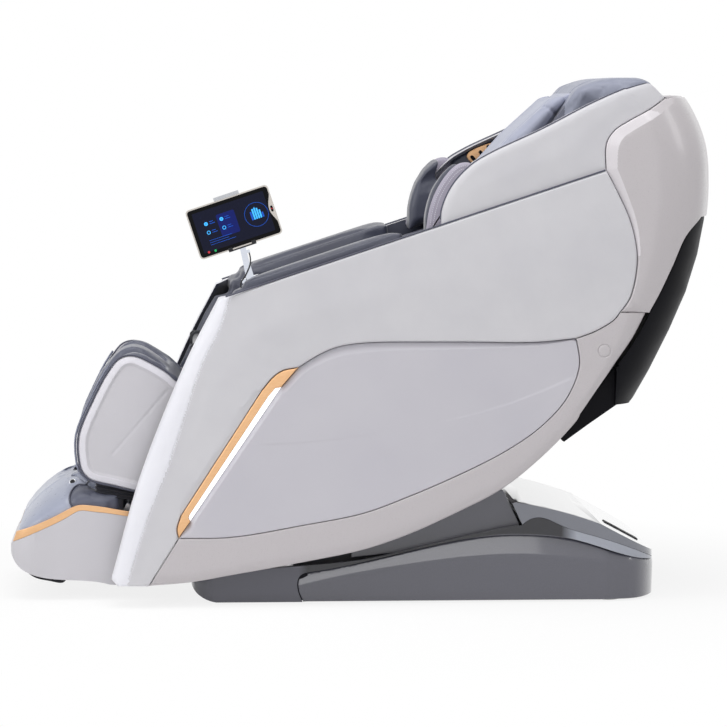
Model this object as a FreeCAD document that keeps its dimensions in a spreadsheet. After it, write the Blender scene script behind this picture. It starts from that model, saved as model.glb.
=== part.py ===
import FreeCAD, Part
import math
import os

from FreeCAD import Placement, Rotation, Vector

# A zero-wall massage chair, in millimetres. +Z is up, -X is the end with the feet, +X the head end,
# and the sitter's left side is -Y. The origin lies on the floor under the middle of the chair.
# Outlines are drawn in side view, as (x, z), on a chair of the styled length and height below, and
# stretch with the overall length and height. Sizes across the chair are distances from its middle plane.

doc = FreeCAD.newDocument("MassageChair")

drivingSizes = {
    "overallLength": 1598,
    "overallHeight": 1175,
    "styledLength": 1598,
    "styledHeight": 1175,
    "shellHalfWidth": 400,
    "shellCorner": 150,
    "seamGap": 0.8,
    "seat": 0.3,
    "armWall": 24,
    "insertInset": 6,
    "insertWall": 14,
    "lowerInset": 3,
    "lowerWall": 6,
    "wingInset": 12,
    "wingWall": 12,
    "rearInset": 0.8,
    "rearWall": 4,
    "coverInset": 5.2,
    "coverWall": 5,
    "flangeHalfWidth": 345,
    "trimInset": 3,
    "trimWall": 10,
    "capRadius": 14,
    "capWall": 3,
    "cabinHalfWidth": 262,
    "linerWall": 22,
    "cushionHalfWidth": 256,
    "cushionEdge": 26,
    "backPadDepth": 75,
    "pillowHalfWidth": 190,
    "shoulderFront": 345,
    "wingInner": 300,
    "baseHalfWidth": 328,
    "baseWall": 4,
    "floorGap": 3,
    "shoulderStrip": 28,
    "frameBar": 30,
    "frameHalfWidth": 300,
    "footRadius": 28,
    "footHeight": 12,
    "railHalfGap": 236,
    "railWidth": 28,
    "railHeight": 24,
    "slideGap": 0.3,
    "glideHeight": 8,
    "plateWall": 10,
    "pivotX": 265,
    "pivotZ": 210,
    "pivotRadius": 15,
    "runningGap": 0.05,
    "pedestalHalfWidth": 296,
    "pedestalWall": 8,
    "tubeRadius": 11,
    "sideBar": 25,
    "sideBarInner": 200,
    "kneeX": -372,
    "kneeZ": 560,
    "kneeRadius": 12,
    "kneeEye": 18,
    "calfArmInner": 206,
    "calfArm": 12,
    "calfHalfWidth": 252,
    "calfPanel": 20,
    "calfFrameBack": 40,
    "calfFrameFront": 10.3,
    "wellInner": 58,
    "wellOuter": 188,
    "rodRadius": 8,
    "rodAcross": 180,
    "rodBack": 26,
    "sleeveRadius": 12,
    "footHalfWidth": 250,
    "footWall": 6,
    "footCorner": 70,
    "soleHalfWidth": 200,
    "rollerRadius": 23,
    "rollerShaft": 6,
    "actuatorRadius": 22,
    "actuatorRod": 10,
    "eyeRadius": 18,
    "eyeHalfWidth": 12,
    "clevisGap": 3,
    "clevisWall": 6,
    "clevisPin": 7,
    "legActuatorAcross": 100,
    "runnerInner": 176,
    "runnerSlot": 16,
    "cheekOuter": 165,
    "cheekWall": 14,
    "headRadius": 35,
    "headWidth": 24,
    "headAcross": 70,
    "headShaft": 8,
    "wheelRadius": 24,
    "wheelWidth": 18,
    "wheelAcross": 180,
    "wheelAxle": 5,
    "armSlope": 18.4,
    "stalkAcross": 322,
    "tabletLength": 192,
    "tabletHeight": 114,
    "tabletDepth": 9,
    "tabletCorner": 9,
    "glassBorder": 3,
    "swivelPin": 4,
    "tiltPin": 3,
    "cableRadius": 1.5,
}

sheet = doc.addObject("Spreadsheet::Sheet", "Sizes")
for row, (alias, number) in enumerate(drivingSizes.items(), start=1):
    sheet.set("A%d" % row, alias)
    sheet.set("B%d" % row, str(number))
    sheet.setAlias("B%d" % row, alias)
doc.recompute()

subparts = []


def size(alias):
    return float(sheet.get(alias))


def cell(alias):
    return "Sizes." + alias


def at(point, across=0.0):
    """A side-view point of the styled chair, stretched to the overall length and height."""
    x = point[0] * size("overallLength") / size("styledLength")
    z = point[1] * size("overallHeight") / size("styledHeight")
    return Vector(x, across, z)


def moved(points, dx, dz):
    return [(x + dx, z + dz) for x, z in points]


def keep(item, label):
    """Names a sub-part and puts it on the list that is written out."""
    item.Label = label
    subparts.append(item)
    return item


def closedWire(*curves):
    """Joins side-view curves end to end; more than two points make a smooth curve."""
    edges = []
    first = None
    last = None
    for curve in curves:
        points = [at(point) for point in curve]
        if last is not None and points[0].distanceToPoint(last) > 0.01:
            edges.append(Part.makeLine(last, points[0]))
        if len(points) == 2:
            edges.append(Part.makeLine(points[0], points[1]))
        if len(points) > 2:
            smooth = Part.BSplineCurve()
            smooth.interpolate(points)
            edges.append(smooth.toShape())
        first = first or points[0]
        last = points[-1]
    if last.distanceToPoint(first) > 0.01:
        edges.append(Part.makeLine(last, first))
    return Part.Wire(edges)


def polygon(points):
    return [[points[i], points[i + 1]] for i in range(len(points) - 1)]


def outline(name, *curves):
    face = doc.addObject("Part::Feature", name + "Outline")
    face.Shape = Part.Face(closedWire(*curves))
    return face


def narrowed(name, face, gap):
    """The same outline with its edge moved in, or out where the gap is below zero."""
    edges = []
    for edge in face.Shape.makeOffset2D(-gap).OuterWire.OrderedEdges:
        plain = isinstance(edge.Curve, (Part.Line, Part.Circle))
        edges.append(edge if plain else edge.toNurbs().Edges[0])
    inner = doc.addObject("Part::Feature", name + "Narrowed")
    inner.Shape = Part.Face(Part.Wire(edges))
    return inner


def slab(name, face, low, high):
    """A side-view outline carried across the chair from y = low to y = high."""
    item = doc.addObject("Part::Extrusion", name)
    item.Base = face
    item.DirMode = "Custom"
    item.Dir = Vector(0, 1, 0)
    item.Solid = True
    item.setExpression("LengthFwd", high)
    item.setExpression("LengthRev", "-(%s)" % low)
    return item


def plate(name, points, low, high):
    return slab(name, outline(name, *polygon(points)), low, high)


def fused(name, *items):
    item = doc.addObject("Part::MultiFuse", name)
    item.Shapes = list(items)
    return item


def common(name, *items):
    item = doc.addObject("Part::MultiCommon", name)
    item.Shapes = list(items)
    return item


def cut(name, base, tool):
    item = doc.addObject("Part::Cut", name)
    item.Base = base
    item.Tool = tool
    return item


def grouped(name, *items):
    item = doc.addObject("Part::Compound", name)
    item.Links = list(items)
    return item


def mirrored(name, source):
    item = doc.addObject("Part::Mirroring", name)
    item.Source = source
    item.Base = Vector(0, 0, 0)
    item.Normal = Vector(0, 1, 0)
    return item


def crossBar(name, point, low, high, radius):
    """A round bar along Y at a side-view point, from y = low to y = high."""
    item = doc.addObject("Part::Cylinder", name)
    item.setExpression("Radius", radius)
    item.setExpression("Height", "(%s) - (%s)" % (high, low))
    item.Placement = Placement(at(point), Rotation(Vector(1, 0, 0), -90))
    item.setExpression("Placement.Base.y", low)
    return item


def barAlong(name, frame, start, length, radius):
    """A round bar along the Z axis of a local frame."""
    item = doc.addObject("Part::Cylinder", name)
    item.setExpression("Radius", radius)
    item.setExpression("Height", length)
    item.Placement = frame.multiply(Placement(start, Rotation()))
    return item


def brick(name, frame, low, high):
    """A block between two corners of a local frame."""
    item = doc.addObject("Part::Box", name)
    item.Length = high[0] - low[0]
    item.Width = high[1] - low[1]
    item.Height = high[2] - low[2]
    item.Placement = frame.multiply(Placement(Vector(*low), Rotation()))
    return item


def bodyBlock(name, frame, low, high, rounding=4):
    """A moulded block between two corners of a local frame, as a body with its upright edges rounded."""
    body = doc.addObject("PartDesign::Body", name)
    block = body.newObject("PartDesign::AdditiveBox", name + "Block")
    block.Length = high[0] - low[0]
    block.Width = high[1] - low[1]
    block.Height = high[2] - low[2]
    doc.recompute()
    upright = []
    for number, edge in enumerate(block.Shape.Edges, start=1):
        way = edge.Vertexes[1].Point - edge.Vertexes[0].Point
        if abs(way.x) < 0.01 and abs(way.y) < 0.01:
            upright.append("Edge%d" % number)
    corners = body.newObject("PartDesign::Fillet", name + "Corners")
    corners.Base = (block, upright)
    corners.Radius = rounding
    body.Tip = corners
    body.Placement = frame.multiply(Placement(Vector(*low), Rotation()))
    return body


def clevis(across):
    """The two ear plates of an actuator's fork, as (low, high) pairs about its middle plane."""
    near = "Sizes.eyeHalfWidth + Sizes.clevisGap"
    far = near + " + Sizes.clevisWall"
    return [("%s - (%s)" % (across, far), "%s - (%s)" % (across, near)),
            ("%s + %s" % (across, near), "%s + %s" % (across, far))]


def bothSides(low, high):
    """The same span across the chair on the left and on the right."""
    return [("Left", "-(%s)" % high, "-(%s)" % low), ("Right", low, high)]


world = Placement()


# Curves of the side view that two neighbouring pieces share

armFront = [(-327, 685), (-400, 543), (-504, 284), (-567, 62)]
armTop = [(530, 968), (-327, 685)]
armLower = [(-151, 535), (-109, 561), (-67, 579), (-9, 588), (196, 590), (377, 589), (464, 597)]
armHeel = [(464, 597), (505, 612), (547, 637), (562, 655)]
armRear = [(562, 655), (582, 683), (593, 719), (599, 771), (595, 812), (581, 863), (555, 920), (530, 968)]
frontSeam = [(-484, 49), (-417, 156)]
trimFoot = [(-417, 156), (-421, 176), (-412, 207)]
trimHead = [(-232, 485), (-206, 515), (-186, 528), (-151, 535)]
insertRear = [(464, 597), (472, 543), (462, 501), (434, 450), (377, 393), (300, 342), (197, 291), (94, 247),
              (-7, 210), (-145, 183), (-299, 158), (-417, 156)]
stripEdge = [(-391, 194), (-189, 491)]
stripInner = [(-219, 470), (-392, 210)]
shellBottom = [(-484, 49), (-387, 57), (-299, 72), (-145, 99), (-7, 127), (94, 161), (197, 207), (301, 261),
               (383, 326), (455, 398), (507, 465), (561, 542)]
shellTail = [(561, 542), (599, 595), (629, 652)]
rearFront = [(530, 968), (529, 1017), (534, 1037), (550, 1058), (581, 1078), (632, 1106), (670, 1132)]
coverEdge = [(794, 860), (752, 862), (713, 821), (682, 755), (652, 693), (629, 652)]
wingRim = [(164, 860), (167, 885), (189, 934), (231, 980), (273, 1006), (385, 1058), (504, 1119), (581, 1152),
           (635, 1170)]
backFoot = (60, 480)
backHead = (480, 1150)
legEnd = (-642, 35)


def armRim(x, above):
    """A point on the sloping top edge of the arm, or above it."""
    low = armTop[-1]
    high = armTop[0]
    return (x, low[1] + (x - low[0]) * (high[1] - low[1]) / (high[0] - low[0]) + above)


def slanted(start, end, along, beside):
    """A side-view point along a slanting line, which stretches with it, and beside the line in millimetres."""
    low = at(start)
    high = at(end)
    length = high.distanceToPoint(low)
    ux = (high.x - low.x) / length
    uz = (high.z - low.z) / length
    reach = along * length / math.hypot(end[0] - start[0], end[1] - start[1])
    x = low.x + ux * reach + uz * beside
    z = low.z + uz * reach - ux * beside
    return (x * size("styledLength") / size("overallLength"), z * size("styledHeight") / size("overallHeight"))


def backPoint(up, depth):
    """A point of the seat back: up along its front face and depth behind it."""
    return slanted(backFoot, backHead, up, depth)


def legPoint(down, front):
    """A point of the leg rest: down its length from the knee and in front of the knee's line."""
    return slanted((size("kneeX"), size("kneeZ")), legEnd, down, front)


# The outer body: one rounded hull, whose skin is parted into panels

hullRear = [(600, 0), (600, 300), (632, 450), (671, 518), (716, 608), (753, 693), (779, 778), (794, 857),
            (799, 930), (794, 1012), (778, 1066), (751, 1119), (700, 1190)]


def hull(name, inset):
    """The rounded outside of seat and back, moved in by the inset; plan sections up the height."""
    half = size("shellHalfWidth") - inset
    corner = size("shellCorner")
    sections = []
    for point in hullRear:
        rear = at(point).x - inset
        z = at(point).z
        left = [Vector(at((-640, 0)).x, -half, z), Vector(rear - corner, -half, z),
                Vector(rear - 0.39 * corner, -half + 0.32 * corner, z), Vector(rear - 0.15 * corner, -half + corner, z),
                Vector(rear - 0.035 * corner, -half * 0.32, z), Vector(rear, 0, z)]
        right = [Vector(p.x, -p.y, p.z) for p in left]
        edges = [Part.makeLine(left[0], left[1]), Part.Arc(left[1], left[2], left[3]).toShape(),
                 Part.Arc(left[3], left[4], left[5]).toShape(), Part.Arc(right[5], right[4], right[3]).toShape(),
                 Part.Arc(right[3], right[2], right[1]).toShape(), Part.makeLine(right[1], right[0]),
                 Part.makeLine(right[0], left[0])]
        sections.append(Part.Wire(edges))
    item = doc.addObject("Part::Feature", name)
    item.Shape = Part.makeLoft(sections, True, True)
    return item


def skin(name, inset, wall):
    return cut(name, hull(name + "Outside", size(inset)), hull(name + "Inside", size(inset) + size(wall)))


def panel(name, face, inset, wall, low="-Sizes.shellHalfWidth - 1", high="0"):
    seam = narrowed(name, face, size("seamGap") / 2)
    return common(name, slab(name + "Region", seam, low, high), skin(name + "Skin", inset, wall))


def both(label, leftItem):
    keep(leftItem, label + "_left")
    keep(mirrored(label + "Right", leftItem), label + "_right")


def makeArmPanels():
    face = outline("armPanel", armFront, [(-553, 49), (-484, 49)], frontSeam, trimFoot, trimHead, armLower, armHeel,
                   armRear, armTop)
    skinPart = panel("armSkin", face, "seamGap", "armWall")
    inner = moved(list(reversed(armFront)), 20, 4)
    wallFace = outline("armFrontWall", armFront, [(-553, 49), (-536, 49)], inner)
    wall = slab("armFrontWall", narrowed("armFrontWall", wallFace, size("seamGap") / 2),
                "-Sizes.shellHalfWidth + Sizes.seamGap + 2",
                "-Sizes.cabinHalfWidth - Sizes.linerWall - Sizes.seat")
    both("arm_panel", fused("armPanelLeft", skinPart, wall))


def makeSideInserts():
    face = outline("insert", armLower, insertRear, stripEdge, [(-189, 491), (-151, 535)])
    both("side_insert", panel("insertLeft", face, "insertInset", "insertWall"))


def makeTrims():
    face = outline("trim", trimFoot, trimHead, [(-151, 535), (-189, 491)], [(-189, 491), (-203, 489)], stripInner,
                   [(-391, 194), (-417, 156)])
    left = panel("trimLeft", face, "trimInset", "trimWall")
    keep(grouped("sideTrims", left, mirrored("trimRight", left)), "side_trims")
    face = outline("strip", stripEdge, [(-189, 491), (-203, 489)], stripInner)
    left = panel("stripLeft", face, "insertInset", "trimWall")
    keep(grouped("lightStrips", left, mirrored("stripRight", left)), "light_strips")


def makeLowerShells():
    face = outline("lower", shellBottom, shellTail, [(629, 652), (562, 655)], list(reversed(armHeel)), insertRear)
    skinPart = panel("lowerSkin", face, "lowerInset", "lowerWall")
    edge = shellBottom[1:]
    flangeFace = outline("lowerFlange", edge, list(reversed(moved(edge, -7, 8))))
    flange = slab("lowerFlange", narrowed("lowerFlange", flangeFace, 1.4),
                  "-Sizes.shellHalfWidth + Sizes.lowerInset + 2", "-Sizes.flangeHalfWidth")
    hullCut = common("lowerFlangeCut", flange, hull("lowerFlangeHull", size("lowerInset") + 2))
    shell = fused("lowerShellBody", skinPart, hullCut)
    socket = crossBar("capSocket", (527, 569), "-Sizes.shellHalfWidth", "-Sizes.shellHalfWidth + 20",
                      "Sizes.capRadius")
    both("lower_shell", cut("lowerShellLeft", shell, socket))
    cap = crossBar("capLeft", (527, 569), "-Sizes.shellHalfWidth + Sizes.lowerInset + 0.5",
                   "-Sizes.shellHalfWidth + Sizes.lowerInset + Sizes.capWall + 0.5", "Sizes.capRadius - Sizes.seat")
    keep(grouped("shellCaps", cap, mirrored("capRight", cap)), "shell_caps")


def makeWings():
    face = outline("wing", wingRim, [(635, 1170), (672, 1134)], list(reversed(rearFront)),
                   [(530, 968), armRim(166, 0)], [armRim(166, 0), (164, 860)])
    skinPart = panel("wingSkin", face, "wingInset", "wingWall")
    rimFace = outline("wingRim", wingRim, list(reversed(moved(wingRim, 8, -10))))
    rim = slab("wingRimBand", narrowed("wingRim", rimFace, size("seamGap") / 2),
               "-Sizes.shellHalfWidth", "-Sizes.wingInner")
    rimCut = common("wingRimCut", rim, hull("wingRimHull", size("wingInset")))
    both("wing", fused("wingLeft", skinPart, rimCut))


def makeRearShell():
    face = outline("rearShell", rearFront, [(676, 1137), (840, 1137)], [(840, 860), (794, 860)], coverEdge,
                   [(629, 652), (562, 655)], armRear)
    around = panel("rearSkin", face, "rearInset", "rearWall", high="Sizes.shellHalfWidth + 1")
    top = plate("rearTop", [(672, 1128), (840, 1128), (840, 1136.6), (677, 1136.6)], "-Sizes.shellHalfWidth",
                "Sizes.shellHalfWidth")
    keep(fused("rearShell", around, common("rearTopCut", top, hull("rearTopHull", size("rearInset")))), "rear_shell")


def makeRearCover():
    face = outline("rearCover", [(840, 860), (794, 860)], coverEdge, list(reversed(shellTail)),
                   [(561, 542), (556, 452)], [(590, 446), (664, 505)], [(840, 505), (840, 860)])
    around = panel("rearCoverSkin", face, "coverInset", "coverWall", high="Sizes.shellHalfWidth + 1")
    bottom = plate("rearCoverBottom", [(556, 446), (592, 446), (668, 506), (668, 512), (590, 451), (556, 451)],
                   "-Sizes.shellHalfWidth", "Sizes.shellHalfWidth")
    closed = common("rearCoverBottomCut", bottom, hull("rearCoverHull", size("coverInset")))
    width = "Sizes.flangeHalfWidth - Sizes.seat"
    belly = plate("belly", [(560, 450), (494, 406), (440, 366), (443, 362), (497, 401), (562, 446)],
                  "-(%s)" % width, width)
    cheekShape = [(562, 450), (562, 538), (507, 463), (455, 397), (432, 372), (440, 364), (494, 404)]
    cheeks = [plate("bellyCheek" + side, cheekShape, a, b) for side, a, b in bothSides(width + " - 4", width)]
    ends = [common("bellyEndCut" + side, plate("bellyEnd" + side, [(556, 448), (560, 448), (560, 536), (556, 531)],
                                               a, b), hull("bellyEndHull" + side, size("coverInset")))
            for side, a, b in bothSides(width + " - 4", "Sizes.shellHalfWidth")]
    keep(fused("rearCover", around, closed, belly, *cheeks, *ends), "rear_cover")


# The base: a hull of its own, parted along its seams

baseNose = [(-389, 52), (-384, 30), (-362, 12), (-331, 3)]
baseGroove = [(-140, 3), (-151, 30), (-150, 56), (-132, 69)]
baseLine = [(-132, 69), (-5, 92), (203, 139), (307, 153), (370, 153), (453, 144), (569, 109), (656, 87)]
deckSeam = [(352, 174), (395, 190), (442, 171), (500, 152), (656, 91)]
deckTop = [(531, 174), (414, 210), (337, 225)]


def basePlan(name, inset):
    """The base seen from above, moved in by the inset, as a tall prism."""
    half = size("baseHalfWidth") - inset
    front = at((-389, 0)).x + inset
    rear = at((674, 0)).x - inset
    left = [Vector(front, -half + 70, -50), Vector(front + 18, -half + 16, -50), Vector(front + 75, -half, -50),
            Vector(rear - 130, -half, -50), Vector(rear - 60, -half + 25, -50), Vector(rear - 18, -half + 95, -50),
            Vector(rear - 6, -half + 200, -50), Vector(rear, 0, -50)]
    right = [Vector(p.x, -p.y, p.z) for p in left]
    edges = [Part.Arc(left[0], left[1], left[2]).toShape(), Part.makeLine(left[2], left[3]),
             Part.Arc(left[3], left[4], left[5]).toShape(), Part.Arc(left[5], left[6], left[7]).toShape(),
             Part.Arc(right[7], right[6], right[5]).toShape(), Part.Arc(right[5], right[4], right[3]).toShape(),
             Part.makeLine(right[3], right[2]), Part.Arc(right[2], right[1], right[0]).toShape(),
             Part.makeLine(right[0], left[0])]
    item = doc.addObject("Part::Feature", name)
    item.Shape = Part.Face(Part.Wire(edges)).extrude(Vector(0, 0, 400))
    return item


def makeBaseCovers():
    side = outline("baseSide", baseNose, [(-331, -40), (655, -40)], [(655, 3), (672, 70)], [(664, 95), (655, 107)],
                   deckTop, [(329, 222), (352, 174)], [(330, 170), (152, 131), (-4, 98), (-140, 85), (-389, 52)])
    outside = common("baseOutside", slab("baseSlab", side, "-Sizes.baseHalfWidth", "Sizes.baseHalfWidth"),
                     basePlan("basePlanOutside", 0))
    inside = common("baseInside", slab("baseHollow", narrowed("baseSide", side, size("baseWall")),
                                       "-Sizes.baseHalfWidth", "Sizes.baseHalfWidth"),
                    basePlan("basePlanInside", size("baseWall")))
    shell = cut("baseShell", outside, inside)
    well = plate("baseWell", [(-372, 20), (351, 20), (351, 260), (-372, 260)],
                 "-Sizes.baseHalfWidth + Sizes.shoulderStrip", "Sizes.baseHalfWidth - Sizes.shoulderStrip")
    openShell = cut("baseOpenShell", shell, well)

    region = outline("baseShroud", list(reversed(baseGroove)), [(-440, 3), (-440, 190)], [(344.3, 190), (352, 174)],
                     deckSeam, [(700, 91), (700, 87)], list(reversed(baseLine)))
    band = slab("baseShroudRegion", narrowed("baseShroud", region, size("seamGap") / 2),
                "-Sizes.baseHalfWidth - 1", "Sizes.baseHalfWidth + 1")
    keep(common("baseShroudPart", openShell, band), "base_shroud")

    region = outline("baseSideCover", moved(baseGroove, 1, -1.2), moved(baseLine, 0, -1), [(700, 86), (700, 3)])
    half = slab("baseSideRegion", region, "-Sizes.baseHalfWidth - 1", "-Sizes.seamGap / 2")
    both("base_side_cover", common("baseSideCoverLeft", openShell, half))

    region = outline("baseDeck", deckSeam, [(700, 91), (700, 300)], [(320, 300), (320, 241)], [(329, 222), (352, 174)])
    top = slab("baseDeckRegion", narrowed("baseDeck", region, size("seamGap") / 2),
               "-Sizes.baseHalfWidth - 1", "Sizes.baseHalfWidth + 1")
    deck = common("baseDeckShell", shell, top)
    keep(cut("baseDeck", deck, inletFrame("deckHole", -38, 38, -17, 17, -20, 20)), "base_deck")


def deckPlacement():
    """A frame on the flat stretch of the deck: x along it towards the rear, z out of it."""
    low = at((531, 174))
    high = at((655, 107))
    slope = math.degrees(math.atan2(low.z - high.z, high.x - low.x))
    middle = Vector((low.x + high.x) / 2, -150, (low.z + high.z) / 2)
    return Placement(middle, Rotation(Vector(0, 1, 0), slope))


def inletFrame(name, x0, x1, y0, y1, z0, z1):
    return brick(name, deckPlacement(), (x0, y0, z0), (x1, y1, z1))


def makeInlet():
    lip = inletFrame("inletLip", -43, 43, -22, 22, 0, 2)
    tub = inletFrame("inletTub", -37.5, 37.5, -16.5, 16.5, -28, 1)
    socket = inletFrame("inletSocket", -32, -4, -11, 11, -18, 3)
    rockerWell = inletFrame("rockerWell", 8, 32, -9, 9, -14, 3)
    body = cut("inletSocketCut", fused("inletBody", lip, tub), socket)
    housing = cut("inletWellCut", body, rockerWell)
    pins = [inletFrame("inletPin%d" % i, x - 1, x + 1, y - 3, y + 3, -18, -5)
            for i, (x, y) in enumerate([(-24, -5), (-24, 5), (-13, 0)], start=1)]
    frame = deckPlacement()
    axle = doc.addObject("Part::Cylinder", "rockerAxle")
    axle.Radius = 1.5
    axle.Height = 20
    axle.Placement = frame.multiply(Placement(Vector(20, -10, -4), Rotation(Vector(1, 0, 0), -90)))
    keep(fused("powerInlet", housing, axle, *pins), "power_inlet")

    rocker = inletFrame("rockerBlock", 9.5, 30.5, -8.5, 8.5, -9, 2)
    bore = doc.addObject("Part::Cylinder", "rockerBore")
    bore.setExpression("Radius", "1.5 + Sizes.runningGap")
    bore.Height = 20
    bore.Placement = axle.Placement
    tipped = doc.addObject("Part::Cylinder", "rockerRound")
    tipped.Radius = 10.8
    tipped.Height = 20
    tipped.Placement = axle.Placement
    keep(cut("powerRocker", common("rockerBody", rocker, tipped), bore), "power_rocker")


def makeBaseFrame():
    bar = size("frameBar")
    half = size("frameHalfWidth")
    low = size("footHeight")
    front = at((-340, 0)).x
    rear = at((600, 0)).x
    bars = [brick("baseLong%d" % i, world, (front, y, low), (rear, y + bar, low + bar))
            for i, y in enumerate((-half, half - bar), start=1)]
    for i, x in enumerate((-340, 100, 400, 570), start=1):
        start = at((x, 0)).x
        bars.append(brick("baseCross%d" % i, world, (start, -half + bar, low), (start + bar, half - bar, low + bar)))
    reach = size("baseHalfWidth") - size("baseWall") - size("seat")
    for i, x in enumerate((-260, 200, 450), start=1):
        start = at((x, 0)).x
        for j, (y0, y1) in enumerate(((-reach, -half), (half, reach)), start=1):
            bars.append(brick("coverStud%d%d" % (i, j), world, (start, y0, low + 4), (start + 20, y1, low + bar - 4)))
    across = size("wheelAcross")
    axles = []
    wheels = []
    axlePoint = (626, 27)
    for i, y in enumerate((-across, across), start=1):
        axles.append(crossBar("wheelAxle%d" % i, axlePoint, "%g" % (y - 17), "%g" % (y + 17), "Sizes.wheelAxle"))
        tread = crossBar("wheelTread%d" % i, axlePoint, "%g - Sizes.wheelWidth / 2" % y,
                         "%g + Sizes.wheelWidth / 2" % y, "Sizes.wheelRadius")
        hole = crossBar("wheelBore%d" % i, axlePoint, "%g - Sizes.wheelWidth" % y, "%g + Sizes.wheelWidth" % y,
                        "Sizes.wheelAxle + Sizes.runningGap")
        wheels.append(cut("wheel%d" % i, tread, hole))
        for j, start in enumerate((y - 17, y + 12), start=1):
            ear = brick("wheelEar%d%d" % (i, j), world, (rear, start, low + 2), (rear + 34, start + 5, low + bar))
            bars.append(cut("wheelEarBored%d%d" % (i, j), ear, axles[-1]))
    keep(grouped("baseFrame", *bars, *axles), "base_frame")
    keep(grouped("transportWheels", *wheels), "transport_wheels")

    feet = []
    for i, (x, y) in enumerate([(-290, -1), (-290, 1), (550, -1), (550, 1)], start=1):
        foot = doc.addObject("Part::Cylinder", "footPad%d" % i)
        foot.setExpression("Radius", "Sizes.footRadius")
        foot.setExpression("Height", "Sizes.footHeight")
        foot.Placement = Placement(Vector(at((x, 0)).x, y * (half - bar / 2 - 15), 0), Rotation())
        feet.append(foot)
    keep(grouped("baseFeet", *feet), "base_feet")

    top = low + bar
    gap = size("railHalfGap")
    rails = [brick("slideRail%d" % i, world, (at((-340, 0)).x, y, top),
                   (at((430, 0)).x, y + size("railWidth"), top + size("railHeight")))
             for i, y in enumerate((-gap - size("railWidth"), gap), start=1)]
    keep(grouped("slideRails", *rails), "slide_rails")

    box = bodyBlock("controlBox", world, (at((440, 0)).x, -110, top), (at((600, 0)).x, 90, top + 45))
    keep(box, "control_box")


def makeCarriage():
    low = size("footHeight") + size("frameBar") + size("railHeight") + size("slideGap")
    top = low + size("glideHeight")
    gap = size("railHalfGap")
    glides = []
    for i, x in enumerate((-150, 290), start=1):
        for j, y in enumerate((-gap - 26, gap + 4), start=1):
            start = at((x, 0)).x
            glides.append(brick("glide%d%d" % (i, j), world, (start, y, low), (start + 40, y + 22, top)))
    bars = [brick("carriageLong%d" % i, world, (at((-160, 0)).x, y, top), (at((330, 0)).x, y + 22, top + 30))
            for i, y in enumerate((-gap - 26, gap + 4), start=1)]
    for i, x in enumerate((-160, 40, 300), start=1):
        start = at((x, 0)).x
        bars.append(brick("carriageCross%d" % i, world, (start, -gap - 4, top), (start + 30, gap + 4, top + 30)))
    chassis = grouped("carriageBars", *bars)
    pivot = (size("pivotX"), size("pivotZ"))
    pins = []
    plates = []
    for side, a, b in bothSides("Sizes.railHalfGap + 14", "Sizes.pedestalHalfWidth - Sizes.pedestalWall - Sizes.seat"):
        pins.append(crossBar("pivotPin" + side, pivot, a, b, "Sizes.pivotRadius"))
    for side, a, b in bothSides("Sizes.railHalfGap + 14", "Sizes.railHalfGap + 26"):
        plates.append(plate("upright" + side, [(195, 100), (328, 100), (296, 222), (282, 238), (248, 238), (232, 222)],
                            a, b))
    span = clevis("0")
    pins.append(crossBar("reclinePin", reclineFoot, span[0][0], span[1][1], "Sizes.clevisPin"))
    for i, (a, b) in enumerate(span, start=1):
        plates.append(plate("reclineEar%d" % i, [(38, 92), (72, 92), (68, 144), (58, 150), (50, 150), (42, 144)],
                            a, b))
    around = grouped("carriageAround", chassis, *pins)
    webs = [cut("carriagePlate%d" % i, item, around) for i, item in enumerate(plates, start=1)]
    keep(grouped("carriageFrame", *glides, chassis, *webs, *pins), "carriage_frame")

    sideWall = [(-30, 98), (152, 118), (330, 150), (348, 172), (311, 250), (282, 250), (100, 196), (-30, 128)]
    left = plate("pedestalLeft", sideWall, "-Sizes.pedestalHalfWidth",
                 "-Sizes.pedestalHalfWidth + Sizes.pedestalWall")
    back = plate("pedestalBack", [(330, 150), (348, 172), (311, 250), (306, 250), (341, 173), (324, 152)],
                 "-Sizes.pedestalHalfWidth + Sizes.pedestalWall", "Sizes.pedestalHalfWidth - Sizes.pedestalWall")
    keep(grouped("pedestalCover", left, mirrored("pedestalRight", left), back), "pedestal_cover")


# The linear actuators: a body hinged at its foot and a rod that slides out of it

reclineFoot = (55, 134)
reclineHead = (-120, 400)
legFoot = (-140, 372)
legHead = legPoint(70, -55)


def actuatorFrame(foot, head, across):
    """A frame at the foot whose z axis points to the head."""
    start = at(foot)
    end = at(head)
    turn = math.degrees(math.atan2(end.x - start.x, end.z - start.z))
    return Placement(Vector(start.x, across, start.z), Rotation(Vector(0, 1, 0), turn))


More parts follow.
